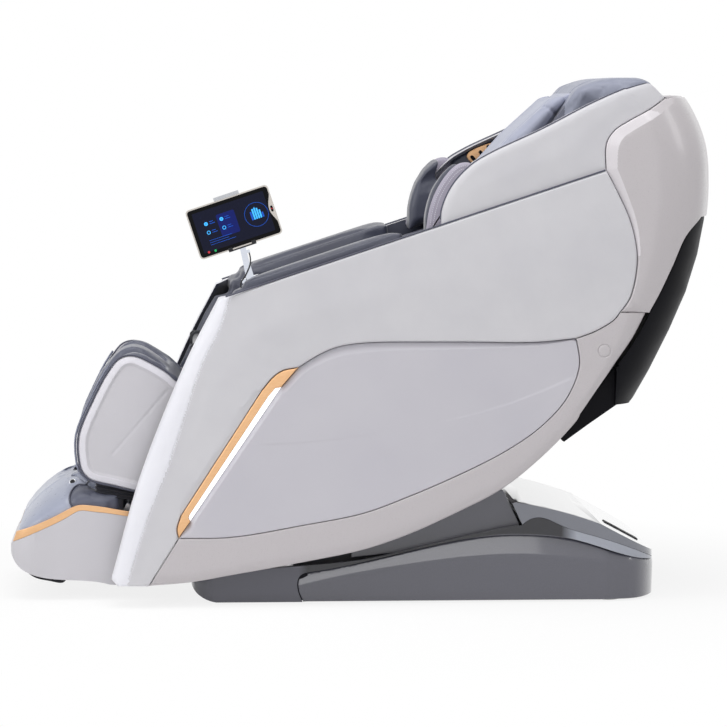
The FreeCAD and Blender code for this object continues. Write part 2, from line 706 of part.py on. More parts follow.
def makeActuator(label, foot, head, across, bodyLength):
    frame = actuatorFrame(foot, head, across)
    reach = at(foot).distanceToPoint(at(head))
    half = size("eyeHalfWidth")
    radius = size("actuatorRadius")
    name = label.title().replace("_", "")
    eye = crossBar(name + "Eye", foot, "%g - Sizes.eyeHalfWidth" % across, "%g + Sizes.eyeHalfWidth" % across,
                   "Sizes.eyeRadius")
    tube = barAlong(name + "Tube", frame, Vector(0, 0, 30), "%g" % (bodyLength - 30), "Sizes.actuatorRadius")
    neck = brick(name + "Neck", frame, (-12, -half, 8), (12, half, 40))
    motor = brick(name + "Motor", frame, (-22, -radius - 34, 34), (22, -radius + 8, 100))
    bore = barAlong(name + "Bore", frame, Vector(0, 0, 32), "%g" % (bodyLength + 20),
                    "Sizes.actuatorRod + Sizes.runningGap")
    pinHole = crossBar(name + "PinHole", foot, "%g - Sizes.eyeHalfWidth - 1" % across,
                       "%g + Sizes.eyeHalfWidth + 1" % across, "Sizes.clevisPin + Sizes.runningGap")
    body = cut(name + "Bored", fused(name + "Blank", eye, tube, neck, motor), bore)
    keep(cut(name + "Body", body, pinHole), label + "_body")

    rod = barAlong(name + "RodBar", frame, Vector(0, 0, 34), "%g" % (reach - 34), "Sizes.actuatorRod")
    rodEye = crossBar(name + "RodEye", head, "%g - Sizes.eyeHalfWidth" % across, "%g + Sizes.eyeHalfWidth" % across,
                      "Sizes.eyeRadius - 4")
    keep(fused(name + "Rod", rod, rodEye), label + "_rod")


# The steel frame inside seat and back, and what it carries

def makeSeatFrame():
    inner = "Sizes.sideBarInner"
    outer = "Sizes.sideBarInner + Sizes.sideBar"
    webOuter = outer + " + Sizes.plateWall"
    armReach = "Sizes.shellHalfWidth - Sizes.seamGap - Sizes.armWall - Sizes.seat"
    insertReach = "Sizes.shellHalfWidth - Sizes.insertInset - Sizes.insertWall - Sizes.seat"
    wingReach = "Sizes.shellHalfWidth - Sizes.wingInset - Sizes.wingWall - Sizes.seat"
    radius = "Sizes.tubeRadius"
    knee = (size("kneeX"), size("kneeZ"))
    pivot = (size("pivotX"), size("pivotZ"))
    behind = 108 + size("tubeRadius")
    thigh = crossBar("thighTube", (-250, 482), "-(%s)" % armReach, armReach, radius)
    hip = crossBar("hipTube", backPoint(-22, behind), "-(%s)" % insertReach, insertReach, radius)
    head = crossBar("headTube", backPoint(735, behind), "-(%s)" % wingReach, wingReach, radius)
    seat = crossBar("seatTube", (-120, 456), "-" + inner, inner, radius)
    kneeTube = crossBar("kneeTube", knee, "-(%s)" % webOuter, webOuter, "Sizes.kneeRadius")
    leg = cell("legActuatorAcross")
    span = clevis(leg)
    legPin = crossBar("legPin", legFoot, span[0][0], span[1][1], "Sizes.clevisPin")
    tubes = [thigh, hip, head, seat, kneeTube, legPin]

    seatBar = [(-345, 487), (-345, 518), (128, 418), (118, 386)]
    backBar = [backPoint(-48, 84), backPoint(760, 84), backPoint(760, 108), backPoint(-48, 108)]
    kneeWeb = [(-390, 548), (-390, 572), (-384, 578), (-360, 578), (-352, 560), (-330, 516), (-330, 490), (-348, 490)]
    lug = [(150, 420), (184, 420), (292, 220), (292, 200), (275, 184), (252, 184), (238, 200), (134, 392)]
    bars = []
    plates = []
    for side, a, b in bothSides(inner, outer):
        back = plate("backBar" + side, backBar, a, b)
        bars.append(back)
        bars.append(cut("seatBarEnd" + side, cut("seatBarBored" + side, plate("seatBar" + side, seatBar, a, b), thigh),
                        back))
    for side, a, b in bothSides(outer, armReach):
        bars.append(crossBar("midStub" + side, backPoint(400, 96), a, b, "11"))
    for side, a, b in bothSides(outer, webOuter):
        plates.append(plate("kneeWeb" + side, kneeWeb, a, b))
    for side, a, b in bothSides("Sizes.railHalfGap + 30", "Sizes.railHalfGap + 40"):
        hole = crossBar("pivotHole" + side, pivot, a, b, "Sizes.pivotRadius + Sizes.runningGap")
        plates.append(cut("pivotLugBored" + side, plate("pivotLug" + side, lug, a, b), hole))
    for i, (a, b) in enumerate(clevis("0"), start=1):
        plates.append(plate("reclineHanger%d" % i, [(-136, 460), (-104, 460), (-106, 392), (-112, 384), (-128, 384),
                                                    (-134, 392)], a, b))
    for i, (a, b) in enumerate(span, start=1):
        plates.append(plate("legBracket%d" % i, [(-134, 460), (-106, 460), (-124, 362), (-132, 356), (-148, 356),
                                                 (-156, 364), (-156, 384)], a, b))
    around = grouped("seatFrameTubes", *tubes)
    webs = [cut("seatFramePlate%d" % i, item, around) for i, item in enumerate(plates, start=1)]
    keep(grouped("seatFrame", around, *bars, *webs), "seat_frame")


def makeAirPump():
    case = brick("pumpCase", world, (at((-70, 0)).x, -185, at((0, 300)).z), (at((90, 0)).x, -75, at((0, 385)).z))
    hangerFace = [(-20, 380), (50, 380), (50, 424), (-20, 436)]
    hanger = plate("pumpHanger", hangerFace, "-Sizes.sideBarInner + Sizes.seat", "-Sizes.sideBarInner + 6")
    shelf = brick("pumpShelf", world, (at((-20, 0)).x, -196, at((0, 380)).z), (at((50, 0)).x, -180, at((0, 385)).z))
    keep(fused("airPump", case, hanger, shelf), "air_pump")


def makeRunners():
    runners = []
    inner = size("runnerInner")
    slot = size("runnerSlot") / 2
    middle = 100
    for side in (-1, 1):
        tag = "Left" if side < 0 else "Right"
        low = "Sizes.runnerInner"
        high = "Sizes.sideBarInner - Sizes.seat"
        limits = ("-(%s)" % high, "-(%s)" % low) if side < 0 else (low, high)
        whole = plate("runnerBlank" + tag, [backPoint(100, middle - 20), backPoint(700, middle - 20),
                                            backPoint(700, middle + 20), backPoint(100, middle + 20)], *limits)
        slotHigh = "Sizes.runnerInner + 14"
        limits = ("-(%s)" % slotHigh, "-(%s) + 1" % low) if side < 0 else (low + " - 1", slotHigh)
        groove = plate("runnerGroove" + tag, [backPoint(90, middle - slot), backPoint(710, middle - slot),
                                              backPoint(710, middle + slot), backPoint(90, middle + slot)], *limits)
        runners.append(cut("runner" + tag, whole, groove))
    keep(grouped("massageRails", *runners), "massage_rails")

    cheekOuter = "Sizes.cheekOuter"
    cheekInner = "Sizes.cheekOuter - Sizes.cheekWall"
    cheek = [backPoint(125, 84), backPoint(275, 84), backPoint(275, 176), backPoint(125, 176)]
    parts = [plate("cheekLeft", cheek, "-(%s)" % cheekOuter, "-(%s)" % cheekInner),
             plate("cheekRight", cheek, cheekInner, cheekOuter),
             plate("cheekBack", [backPoint(125, 158), backPoint(275, 158), backPoint(275, 176), backPoint(125, 176)],
                   "-(%s)" % cheekOuter, cheekOuter)]
    for i, up in enumerate((140, 260), start=1):
        parts.append(crossBar("rollerShaft%d" % i, backPoint(up, middle), "-%g" % (inner + 11), "%g" % (inner + 11),
                              "Sizes.runnerSlot / 2 - 0.2"))
    bore = crossBar("headBore", backPoint(200, 118), "-Sizes.cheekOuter - 1", "Sizes.cheekOuter + 1",
                    "Sizes.headShaft + Sizes.runningGap")
    keep(cut("massageCarriage", fused("massageCarriageBlank", *parts), bore), "massage_carriage")

    heads = [crossBar("headShaft", backPoint(200, 118), "-Sizes.cheekOuter + 1", "Sizes.cheekOuter - 1",
                      "Sizes.headShaft")]
    for i, y in enumerate((-1, 1), start=1):
        across = y * size("headAcross")
        heads.append(crossBar("head%d" % i, backPoint(200, 118), "%g - Sizes.headWidth / 2" % across,
                              "%g + Sizes.headWidth / 2" % across, "Sizes.headRadius"))
    keep(fused("massageHeads", *heads), "massage_heads")


# Upholstery: closed forms whose ends draw in

def drawnIn(points, inset):
    """A closed outline shrunk by the inset along its longest line and square to it."""
    pairs = [(a.distanceToPoint(b), a, b) for a in points for b in points]
    longest, first, last = max(pairs, key=lambda pair: pair[0])
    along = (last - first).normalize()
    square = Vector(-along.z, 0, along.x)
    shrunk = []
    limits = []
    for way in (along, square):
        reach = [point.dot(way) for point in points]
        limits.append(((min(reach) + max(reach)) / 2, (max(reach) - min(reach)) / 2))
    for point in points:
        place = Vector(0, 0, 0)
        for way, (middle, half) in zip((along, square), limits):
            place += way * (middle + (point.dot(way) - middle) * (1 - inset / half))
        shrunk.append(place)
    return shrunk


def cushion(name, points, half, edge, middle=0.0):
    """Lofted across the chair: the side outline in the middle, drawn in towards both ends."""
    steps = [(-half, edge * 0.5), (-half + 0.3 * edge, edge * 0.2), (-half + edge, 0.0), (half - edge, 0.0),
             (half - 0.3 * edge, edge * 0.2), (half, edge * 0.5)]
    wires = []
    for y, inset in steps:
        corners = drawnIn([at(point) for point in points], inset)
        wire = Part.makePolygon(corners + corners[:1])
        wire.translate(Vector(0, middle + y, 0))
        wires.append(wire)
    item = doc.addObject("Part::Feature", name)
    item.Shape = Part.makeLoft(wires, True, True)
    return item


# The arm's inner lining runs down beside the leg rest, behind the arm's front edge
legGuard = [(-372, 440), (-440, 290), (-500, 150), (-538, 150), (-521, 213), (-501, 284), (-420, 494), (-397, 543),
            (-361, 618), (-336, 660)]


def makeArmPads():
    top = [armRim(-302, -26), armRim(-300, -2), armRim(-292, 5), armRim(-276, 4), armRim(-270, 16),
           armRim(-255, 20), armRim(60, 20), armRim(84, 12), armRim(86, -26)]
    outer = size("shellHalfWidth") - size("seamGap") - size("armWall") - size("seat")
    inner = size("cabinHalfWidth")
    pad = cushion("armPadTop", top, (outer - inner) / 2, 18, -(outer + inner) / 2)
    liner = plate("armLiner", [armRim(-304, -24), armRim(420, -24), (270, 700), (115, 458), (60, 452), (-236, 506),
                               (-318, 516)] + legGuard,
                  "-Sizes.cabinHalfWidth - Sizes.linerWall", "-Sizes.cabinHalfWidth")
    plain = fused("armPadPlain", pad, liner)
    pockets = grouped("stalkPockets", pinAcross("footPocket", (2, 0, -6), 20, "20.3", "z"),
                      pinAcross("glandPocket", (-24, -28, -24), 30, "4.8", "z"))
    keep(cut("armPadLeft", plain, pockets), "arm_pad_left")
    keep(mirrored("armPadRight", plain), "arm_pad_right")


def makeSeatCushion():
    points = [(-338, 566), (-330, 584), (-305, 590), (-60, 532), (36, 496), (44, 488), (104, 437), (98, 425),
              (-120, 472), (-318, 516), (-334, 530)]
    keep(cushion("seatCushion", points, size("cushionHalfWidth"), size("cushionEdge")), "seat_cushion")


def makeBackCushion():
    depth = size("backPadDepth")
    points = [backPoint(4, 0), backPoint(300, -10), backPoint(600, 0), backPoint(780, 2), (500, 1166), (560, 1172),
              (640, 1172), (668, 1160), (668, 1128), backPoint(790, depth + 60), backPoint(760, depth),
              backPoint(-16, depth)]
    keep(cushion("backCushion", points, size("cushionHalfWidth"), size("cushionEdge")), "back_cushion")


def makeHeadPillow():
    points = [(452, 1153), (421, 1142), (324, 1058), (269, 993), (228, 944), (224, 912), (244, 890), (300, 884),
              backPoint(505, -3.6), backPoint(600, -0.4), backPoint(770, 1.2)]
    keep(cushion("headPillow", points, size("pillowHalfWidth"), size("cushionEdge")), "head_pillow")


def makeShoulderPads():
    inner = size("cabinHalfWidth")
    front = size("shoulderFront")
    nose = [armRim(97, -18), (96, 862), (102, 892), (114, 926), (136, 960), (157, 980), (172, 988), (184, 984),
            (160, 900), armRim(158, -18)]
    bulge = cushion("shoulderNose", nose, (front - inner) / 2, 16, -(front + inner) / 2)
    inside = moved(wingRim[3:], 10, -22)
    lining = [armRim(140, -18), (150, 930)] + inside + [(650, 1120), backPoint(735, 60), armRim(408, -18)]
    panelPart = plate("shoulderLining", lining, "-Sizes.wingInner + Sizes.seat", "-Sizes.cabinHalfWidth")
    both("shoulder_pad", fused("shoulderPadLeft", bulge, panelPart))
    grille = plate("speakerPlate", [(246, 958), (292, 984), (322, 1002), (318, 982), (292, 958), (256, 940)],
                   "-Sizes.cabinHalfWidth + Sizes.seat", "-Sizes.cabinHalfWidth + 4")
    holes = [crossBar("speakerHole%d" % i, point, "-Sizes.cabinHalfWidth - 1", "-Sizes.cabinHalfWidth + 5", "6")
             for i, point in enumerate([(262, 956), (282, 968), (302, 982)], start=1)]
    left = cut("speakerLeft", grille, grouped("speakerHoles", *holes))
    keep(grouped("speakerTrims", left, mirrored("speakerRight", left)), "speaker_trims")


# The leg rest: calf unit on the knee hinge, foot unit that slides down from it

calfFront = [(-642, 342), (-640, 318), (-634, 293), (-617, 274), (-563, 259), (-487, 240)]
calfRear = [(-380, 455), (-392, 480), (-419, 493), (-441, 512), (-477, 534), (-509, 549), (-530, 551), (-550, 544),
            (-567, 525), (-587, 493), (-611, 445), (-633, 396), (-641, 367)]


def makeCalfUnit():
    back = -size("calfFrameBack")
    front = -size("calfFrameFront")
    knee = (size("kneeX"), size("kneeZ"))
    kneeBore = crossBar("kneeBore", knee, "-Sizes.calfHalfWidth", "Sizes.calfHalfWidth",
                        "Sizes.kneeRadius + Sizes.runningGap")
    arms = []
    armShape = [legPoint(0, -18), legPoint(14, back), legPoint(335, back), legPoint(335, front), legPoint(0, front)]
    for side, a, b in bothSides("Sizes.calfArmInner", "Sizes.calfArmInner + Sizes.calfArm"):
        blank = fused("calfArmBlank" + side, plate("calfArm" + side, armShape, a, b),
                      crossBar("kneeEye" + side, knee, a, b, "Sizes.kneeEye"))
        arms.append(cut("calfArmBored" + side, blank, kneeBore))
    frames = [legFrame(side * size("rodAcross")) for side in (-1, 1)]
    sleeves = [barAlong("sleeveOutside%d" % i, frame, Vector(0, 0, 180), "150", "Sizes.sleeveRadius")
               for i, frame in enumerate(frames, start=1)]
    around = grouped("calfFrameAround", *arms, *sleeves)
    reach = "Sizes.calfHalfWidth - Sizes.calfPanel - Sizes.seat"
    crosses = []
    for i, (high, low) in enumerate([(100, 130), (296, 324)], start=1):
        band = [legPoint(high, back), legPoint(low, back), legPoint(low, front), legPoint(high, front)]
        crosses.append(cut("calfCross%d" % i, plate("calfCrossBlank%d" % i, band, "-(%s)" % reach, reach), around))
    lug = [legPoint(84, -14), legPoint(128, -14), legPoint(128, -40), legPoint(84, -68), legPoint(60, -68),
           legPoint(56, -46)]
    lugs = [cut("legLug%d" % i, plate("legLugBlank%d" % i, lug, a, b), crosses[0])
            for i, (a, b) in enumerate(clevis(cell("legActuatorAcross")), start=1)]
    bores = grouped("sleeveBores", *[barAlong("sleeveBore%d" % i, frame, Vector(0, 0, 140), "200",
                                              "Sizes.rodRadius + Sizes.runningGap")
                                     for i, frame in enumerate(frames, start=1)])
    tubes = [cut("sleeve%d" % i, sleeve, bores) for i, sleeve in enumerate(sleeves, start=1)]
    keep(grouped("calfFrame", *arms, *tubes, *crosses, *lugs), "calf_frame")

    side = slab("calfSideLeft", outline("calfSide", calfFront, calfRear), "-Sizes.calfHalfWidth",
                "-Sizes.calfHalfWidth + Sizes.calfPanel")
    both("calf_side", side)

    points = [(-655, 330), (-652, 362), (-640, 398), (-618, 448), (-598, 490), (-574, 528), (-548, 556), (-520, 566),
              (-495, 562), (-456, 540), (-415, 508), (-401, 488), legPoint(100, -10), legPoint(335, -10),
              (-560, 264), (-617, 280), (-645, 302)]
    half = size("calfHalfWidth") - size("calfPanel") - size("seat")
    blank = cushion("calfCushionBlank", points, half, 12)
    keep(cut("calfCushion", blank, wells("calfWells", [legPoint(-10, 45), legPoint(420, 45), legPoint(420, 230),
                                                       legPoint(-10, 230)])), "calf_cushion")


def wells(name, points):
    """The two troughs for the legs, each from the inner to the outer well line."""
    left = plate(name + "Left", points, "-Sizes.wellOuter", "-Sizes.wellInner")
    return grouped(name, left, mirrored(name + "Right", left))


def legFrame(across):
    """A frame at the knee whose z axis runs down the leg, in line with the slide rods."""
    start = at(legPoint(0, -size("rodBack")))
    end = at(legPoint(100, -size("rodBack")))
    turn = math.degrees(math.atan2(end.x - start.x, end.z - start.z))
    return Placement(Vector(start.x, across, start.z), Rotation(Vector(0, 1, 0), turn))


footSole = [(-573, 35), (-672, 46), (-741, 56), (-765, 66), (-778, 75), (-788, 87), (-795, 102), (-798, 121)]
trimLow = [(-792, 129), (-753, 147), (-706, 168), (-660, 192), (-640, 202), (-617, 201), (-576, 196), (-498, 184)]
trimHigh = [(-783, 154), (-744, 169), (-706, 185), (-669, 204), (-643, 215), (-621, 215), (-576, 209), (-498, 197)]


def footPlan(name, inset):
    """The foot unit seen from above, moved in by the inset, as a tall prism."""
    half = size("footHalfWidth") - inset
    tip = at((-800, 0)).x + inset
    heel = at((-485, 0)).x - inset
    corner = size("footCorner")
    left = [Vector(heel, -half, 0), Vector(tip + corner, -half, 0), Vector(tip + 0.28 * corner, -half + 0.28 * corner, 0),
            Vector(tip + 4, -half + corner, 0), Vector(tip + 1, -half * 0.4, 0), Vector(tip, 0, 0)]
    right = [Vector(p.x, -p.y, p.z) for p in left]
    edges = [Part.makeLine(left[0], left[1]), Part.Arc(left[1], left[2], left[3]).toShape(),
             Part.Arc(left[3], left[4], left[5]).toShape(), Part.Arc(right[5], right[4], right[3]).toShape(),
             Part.Arc(right[3], right[2], right[1]).toShape(), Part.makeLine(right[1], right[0]),
             Part.makeLine(right[0], left[0])]
    item = doc.addObject("Part::Feature", name)
    item.Shape = Part.Face(Part.Wire(edges)).extrude(Vector(0, 0, 500))
    return item


def makeFootUnit():
    wall = size("footWall")
    half = "Sizes.footHalfWidth"
    solidFace = outline("footShell", [(-485, 60), (-490, 32)], footSole, trimLow)
    solid = common("footShellSolid", slab("footShellSlab", solidFace, "-" + half, half),
                   footPlan("footPlanOutside", 0))
    hollowPoints = [(-573, 35 + wall + 2), (-672, 46 + wall + 1), (-741, 57 + wall), (-765, 68 + wall), (-786, 100),
                    (-790, 400), (-492, 400), (-494, 32 + wall + 3)]
    hollow = slab("footHollowSlab", outline("footHollow", *polygon(hollowPoints)), "-" + half, half)
    hollow = common("footHollowSolid", hollow, footPlan("footPlanInside", wall))
    shell = cut("footShellTray", solid, hollow)
    rollerPoint = (-650, 80)
    posts = []
    for i, (low, high) in enumerate([(-212, -202), (-6, 6), (202, 212)], start=1):
        posts.append(plate("rollerPost%d" % i, [(-666, 48), (-634, 45), (-636, 92), (-664, 92)], "%g" % low,
                           "%g" % high))
    bore = crossBar("rollerBore", rollerPoint, "-230", "230", "Sizes.rollerShaft + Sizes.runningGap")
    keep(cut("footShell", fused("footShellPosts", shell, *posts), bore), "foot_shell")

    band = slab("footTrimSlab", outline("footTrim", trimLow, list(reversed(trimHigh))), "-" + half, half)
    gap = slab("footTrimBand", narrowed("footTrim", band.Base, size("seamGap") / 2), "-" + half, half)
    ring = cut("footTrimRing", footPlan("footTrimOutside", 1), footPlan("footTrimInside", 1 + wall))
    doc.removeObject(band.Name)
    keep(common("footTrimPart", gap, ring), "foot_trim")

    points = [(-776, 160), (-770, 180), (-750, 207), (-725, 232), (-700, 251), (-671, 268), (-646, 274), (-620, 262),
              (-594, 248), (-545, 242), (-545, 60), (-672, 60), (-741, 70), (-765, 84), (-779, 108), (-783, 130)]
    blank = cushion("footCushionBlank", points, size("footHalfWidth") - wall - 1.5, 20)
    shaped = common("footCushionShaped", blank, footPlan("footPlanCushion", 1 + wall + size("seat")))
    wellPart = wells("footWells", [(-752, 110), (-744, 158), (-712, 200), (-672, 236), (-656, 262), (-656, 330),
                                   (-562, 330), (-562, 92), (-700, 98)])
    chamber = plate("rollerChamber", [(-678, 50), (-622, 50), (-622, 106), (-678, 106)], "-215", "215")
    keep(cut("footCushion", shaped, fused("footCushionHollows", wellPart, chamber)), "foot_cushion")

    pad = [(-765, 65), (-741, 49), (-709, 41), (-676, 37), (-671, 44), (-671, 54), (-741, 70)]
    blank = plate("footSoleBlank", pad, "-Sizes.soleHalfWidth", "Sizes.soleHalfWidth")
    sole = slab("footSoleLine", narrowed("footShell", solidFace, -size("seat")), "-" + half, half)
    keep(cut("footSolePad", blank, sole), "foot_sole_pad")

    rollers = [crossBar("rollerBar", rollerPoint, "-213", "213", "Sizes.rollerShaft")]
    for i, y in enumerate((-160, -123, -86, 86, 123, 160), start=1):
        rollers.append(crossBar("roller%d" % i, rollerPoint, "%g" % (y - 13), "%g" % (y + 13), "Sizes.rollerRadius"))
    keep(fused("footRollers", *rollers), "foot_rollers")

    frames = [legFrame(side * size("rodAcross")) for side in (-1, 1)]
    rods = [barAlong("footRod%d" % i, frame, Vector(0, 0, 150), "232", "Sizes.rodRadius")
            for i, frame in enumerate(frames, start=1)]
    bar = plate("footRodBar", [legPoint(382, -38), legPoint(400, -38), legPoint(400, -14), legPoint(382, -14)],
                "-Sizes.rodAcross - 20", "Sizes.rodAcross + 20")
    legs = []
    for i, y in enumerate((-160, 160), start=1):
        leg = plate("footRodLeg%d" % i, [(-540, 200), (-516, 200), (-510, 43), (-534, 43)], "%g" % (y - 8),
                    "%g" % (y + 8))
        legs.append(cut("footRodLegEnd%d" % i, leg, bar))
    keep(grouped("footRods", *rods, bar, *legs), "foot_rods")


# The tablet on its stalk; sizes from here on are in the frame of the arm's sloping top:
# x up the slope, z square to it, and y across the chair

def armFrame():
    return Placement(Vector(at((-258, 728)).x, -size("stalkAcross"), at((-258, 728)).z),
                     Rotation(Vector(0, 1, 0), -size("armSlope")))


cablePoints = [(17.5, -2, 55), (17.5, -2, 44), (11.5, -13, 29), (2, -19.5, 18), (-9, -25, 7), (-24, -28, -2),
               (-24, -28, -14)]


def inArm(point):
    return armFrame().multVec(Vector(*point))


def tabletBlock(name, low, high):
    return brick(name, armFrame(), low, high)


def pinAcross(name, start, length, radius, direction):
    """A pin in the arm's frame along its x ("x") or z ("z") axis."""
    item = doc.addObject("Part::Cylinder", name)
    item.setExpression("Radius", radius)
    item.Height = length
    turn = Rotation(Vector(0, 1, 0), 90) if direction == "x" else Rotation()
    item.Placement = armFrame().multiply(Placement(Vector(*start), turn))
    return item


def makeTabletStand():
    foot = pinAcross("stalkFoot", (2, 0, -5.7), 8.7, "20", "z")
    stem = doc.addObject("Part::Feature", "stalkStem")
    wires = []
    for x, z, half, thick in ((2, 2, 9, 5), (5, 40, 7, 4), (10, 96, 6, 3.5)):
        corners = [Vector(x - half, -thick, z), Vector(x + half, -thick, z), Vector(x + half, thick, z),
                   Vector(x - half, thick, z), Vector(x - half, -thick, z)]
        wires.append(Part.makePolygon([armFrame().multVec(corner) for corner in corners]))
    stem.Shape = Part.makeLoft(wires, True, True)
    boss = tabletBlock("cableBoss", (11, -4.5, 55), (20.5, 3.5, 62))
    pin = pinAcross("swivelPin", (10, 0, 94), 18, "Sizes.swivelPin", "z")
    gland = pinAcross("cableGland", (-24, -28, -23.7), 9.7, "4.5", "z")
    keep(grouped("tabletStalk", fused("stalkBody", foot, stem, boss, pin), gland), "tablet_stalk")


def makeTabletHub():
    block = tabletBlock("hubBlock", (0, -9, 96.3), (20, 9, 126))
    bore = pinAcross("hubBore", (10, 0, 90), 22.4, "Sizes.swivelPin + Sizes.runningGap", "z")
    pin = pinAcross("tiltPin", (-8, 0, 120), 36, "Sizes.tiltPin", "x")
    keep(fused("tabletHub", cut("hubBored", block, bore), pin), "tablet_hub")


def makeTabletHolder():
    parts = []
    for i, x in enumerate((-6, 21), start=1):
        parts.append(tabletBlock("holderEar%d" % i, (x, -14, 113), (x + 5, 6, 127)))
    parts.append(tabletBlock("holderPlate", (-22, -14, 84), (36, -11.3, 172)))
    parts.append(tabletBlock("holderSpine", (-2, -14, 70), (20, -11.3, 84)))
    parts.append(tabletBlock("holderShelf", (-24, -23.4, 70), (40, -11.3, 73)))
    for i, x in enumerate((-24, 30), start=1):
        parts.append(tabletBlock("holderHook%d" % i, (x, -25.4, 70), (x + 10, -23.4, 79)))
    bore = pinAcross("holderBore", (-12, 0, 120), 44, "Sizes.tiltPin + Sizes.runningGap", "x")
    guide = tabletBlock("holderGuide", (1, -12.8, 150), (17, -11, 178))
    keep(cut("tabletHolder", cut("holderBored", fused("holderBlank", *parts), bore), guide), "tablet_holder")

    jaw = [tabletBlock("jawTongue", (1.3, -12.5, 152), (16.7, -11.3, 193)),
           tabletBlock("jawBar", (-20, -25.4, 191), (38, -11.3, 195)),
           tabletBlock("jawLip", (-20, -25.4, 187), (38, -23.4, 191))]
    keep(fused("holderJaw", *jaw), "holder_jaw")


def makeTablet():
    frame = armFrame()
    length = size("tabletLength")
    height = size("tabletHeight")
    blank = doc.addObject("Part::Box", "tabletBlank")
    blank.setExpression("Length", "Sizes.tabletLength")
    blank.setExpression("Width", "Sizes.tabletDepth - 1")
    blank.setExpression("Height", "Sizes.tabletHeight")
    low = Vector(7 - length / 2, -14.3 - (size("tabletDepth") - 1), 73.3)
    blank.Placement = frame.multiply(Placement(low, Rotation()))
    rounded = doc.addObject("Part::Fillet", "tabletBody")
    rounded.Base = blank
    corners = []
    for number, edge in enumerate(edgesOfBox(length, size("tabletDepth") - 1, height), start=1):
        if edge == "depth":
            corners.append((number, size("tabletCorner"), size("tabletCorner")))
    rounded.Edges = corners
    keep(rounded, "tablet")
    border = size("glassBorder")
    glass = tabletBlock("tabletGlass", (7 - length / 2 + border, -14.3 - size("tabletDepth"), 73.3 + border),
                        (7 + length / 2 - border, -14.3 - size("tabletDepth") + 1 - 0.05, 73.3 + height - border))
    keep(glass, "tablet_glass")


def edgesOfBox(length, width, height):
    """Says for each edge of a block whether it runs along its depth (its second side)."""
    edges = Part.makeBox(length, width, height).Edges
    kinds = []
    for edge in edges:
        way = edge.Vertexes[1].Point - edge.Vertexes[0].Point
        kinds.append("depth" if abs(way.y) > 0.01 and abs(way.x) < 0.01 and abs(way.z) < 0.01 else "other")
    return kinds


def makeCable():
    """The thin lead from the stalk into the arm: straight runs joined by tangent arcs."""
    points = [inArm(point) for point in cablePoints]
    edges = []
    start = points[0]
    for i in range(1, len(points) - 1):
        back = points[i - 1] - points[i]
        ahead = points[i + 1] - points[i]
        run = min(back.Length, ahead.Length)
        turn = math.pi - back.getAngle(ahead)
        reach = 0.45 * run
        radius = reach / math.tan(turn / 2)
        print("cable bend", i, "radius %.1f, run %.1f" % (radius, run))
        enter = points[i] + back.normalize() * reach
        leave = points[i] + ahead.normalize() * reach
        middle = points[i] + (back + ahead).normalize() * (radius / math.cos(turn / 2) - radius)
        edges.append(Part.LineSegment(start, enter).toShape())
        edges.append(Part.Arc(enter, middle, leave).toShape())
        start = leave
    edges.append(Part.LineSegment(start, points[-1]).toShape())
    path = Part.Wire(edges)
    way = (points[1] - points[0]).normalize()
    ring = Part.Wire([Part.Circle(points[0], way, size("cableRadius")).toShape()])
    item = doc.addObject("Part::Feature", "tabletCable")
    item.Shape = path.makePipeShell([ring], True, False)
    ratio = item.Shape.Volume / (math.pi * size("cableRadius") ** 2 * path.Length)
    print("cable length %.1f, volume ratio %.4f" % (path.Length, ratio))
    keep(item, "tablet_cable")


makeBaseFrame()
makeBaseCovers()
makeInlet()
makeCarriage()
makeActuator("recline_actuator", reclineFoot, reclineHead, 0.0, 230)
makeActuator("leg_actuator", legFoot, legHead, size("legActuatorAcross"), 200)
makeSeatFrame()
makeAirPump()
makeRunners()
makeArmPanels()
makeSideInserts()
makeTrims()
makeLowerShells()
makeWings()
makeRearShell()
makeRearCover()
makeArmPads()
makeSeatCushion()
makeBackCushion()
makeHeadPillow()
makeShoulderPads()
makeCalfUnit()
makeFootUnit()
makeTabletStand()
makeTabletHub()
makeTabletHolder()
makeTablet()
makeCable()

doc.recompute()
failed = [item.Name for item in doc.Objects if "Invalid" in item.State or "Error" in item.State]
if failed:
    raise RuntimeError("failed: " + ", ".join(failed))
for item in subparts:
    if item.Shape.isNull() or not item.Shape.isValid():
        raise RuntimeError("%s has no valid shape" % item.Label)
    print("%-24s solids %d volume %9.1f cm3" % (item.Label, len(item.Shape.Solids), item.Shape.Volume / 1000))

os.makedirs("parts", exist_ok=True)
for item in subparts:
    item.Shape.exportStep("parts/%s.step" % item.Label)
print(len(subparts), "sub-parts written")
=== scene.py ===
import math

import bmesh
import bpy
import numpy as np
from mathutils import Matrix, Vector, geometry
from mathutils.bvhtree import BVHTree


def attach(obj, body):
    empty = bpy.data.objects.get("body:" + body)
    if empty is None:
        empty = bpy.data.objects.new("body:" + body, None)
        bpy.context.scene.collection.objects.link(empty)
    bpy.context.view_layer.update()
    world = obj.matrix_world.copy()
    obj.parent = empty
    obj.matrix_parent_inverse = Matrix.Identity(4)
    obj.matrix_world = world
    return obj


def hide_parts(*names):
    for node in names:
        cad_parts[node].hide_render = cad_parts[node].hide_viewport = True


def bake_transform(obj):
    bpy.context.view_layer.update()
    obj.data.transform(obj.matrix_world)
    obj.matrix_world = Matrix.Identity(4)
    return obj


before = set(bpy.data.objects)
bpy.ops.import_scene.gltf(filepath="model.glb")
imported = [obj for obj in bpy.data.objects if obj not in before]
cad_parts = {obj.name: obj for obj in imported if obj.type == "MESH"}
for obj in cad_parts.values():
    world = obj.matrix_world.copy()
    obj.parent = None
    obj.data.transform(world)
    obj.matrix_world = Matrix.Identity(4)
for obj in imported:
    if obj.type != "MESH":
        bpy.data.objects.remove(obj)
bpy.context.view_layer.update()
mm = 0.001

# Lengths are in millimetres in the side view (x to the head end, z up) until a mesh is made from them.
# The left side, y below zero, is the one that the camera sees; the right side is its mirror image.


# Camera

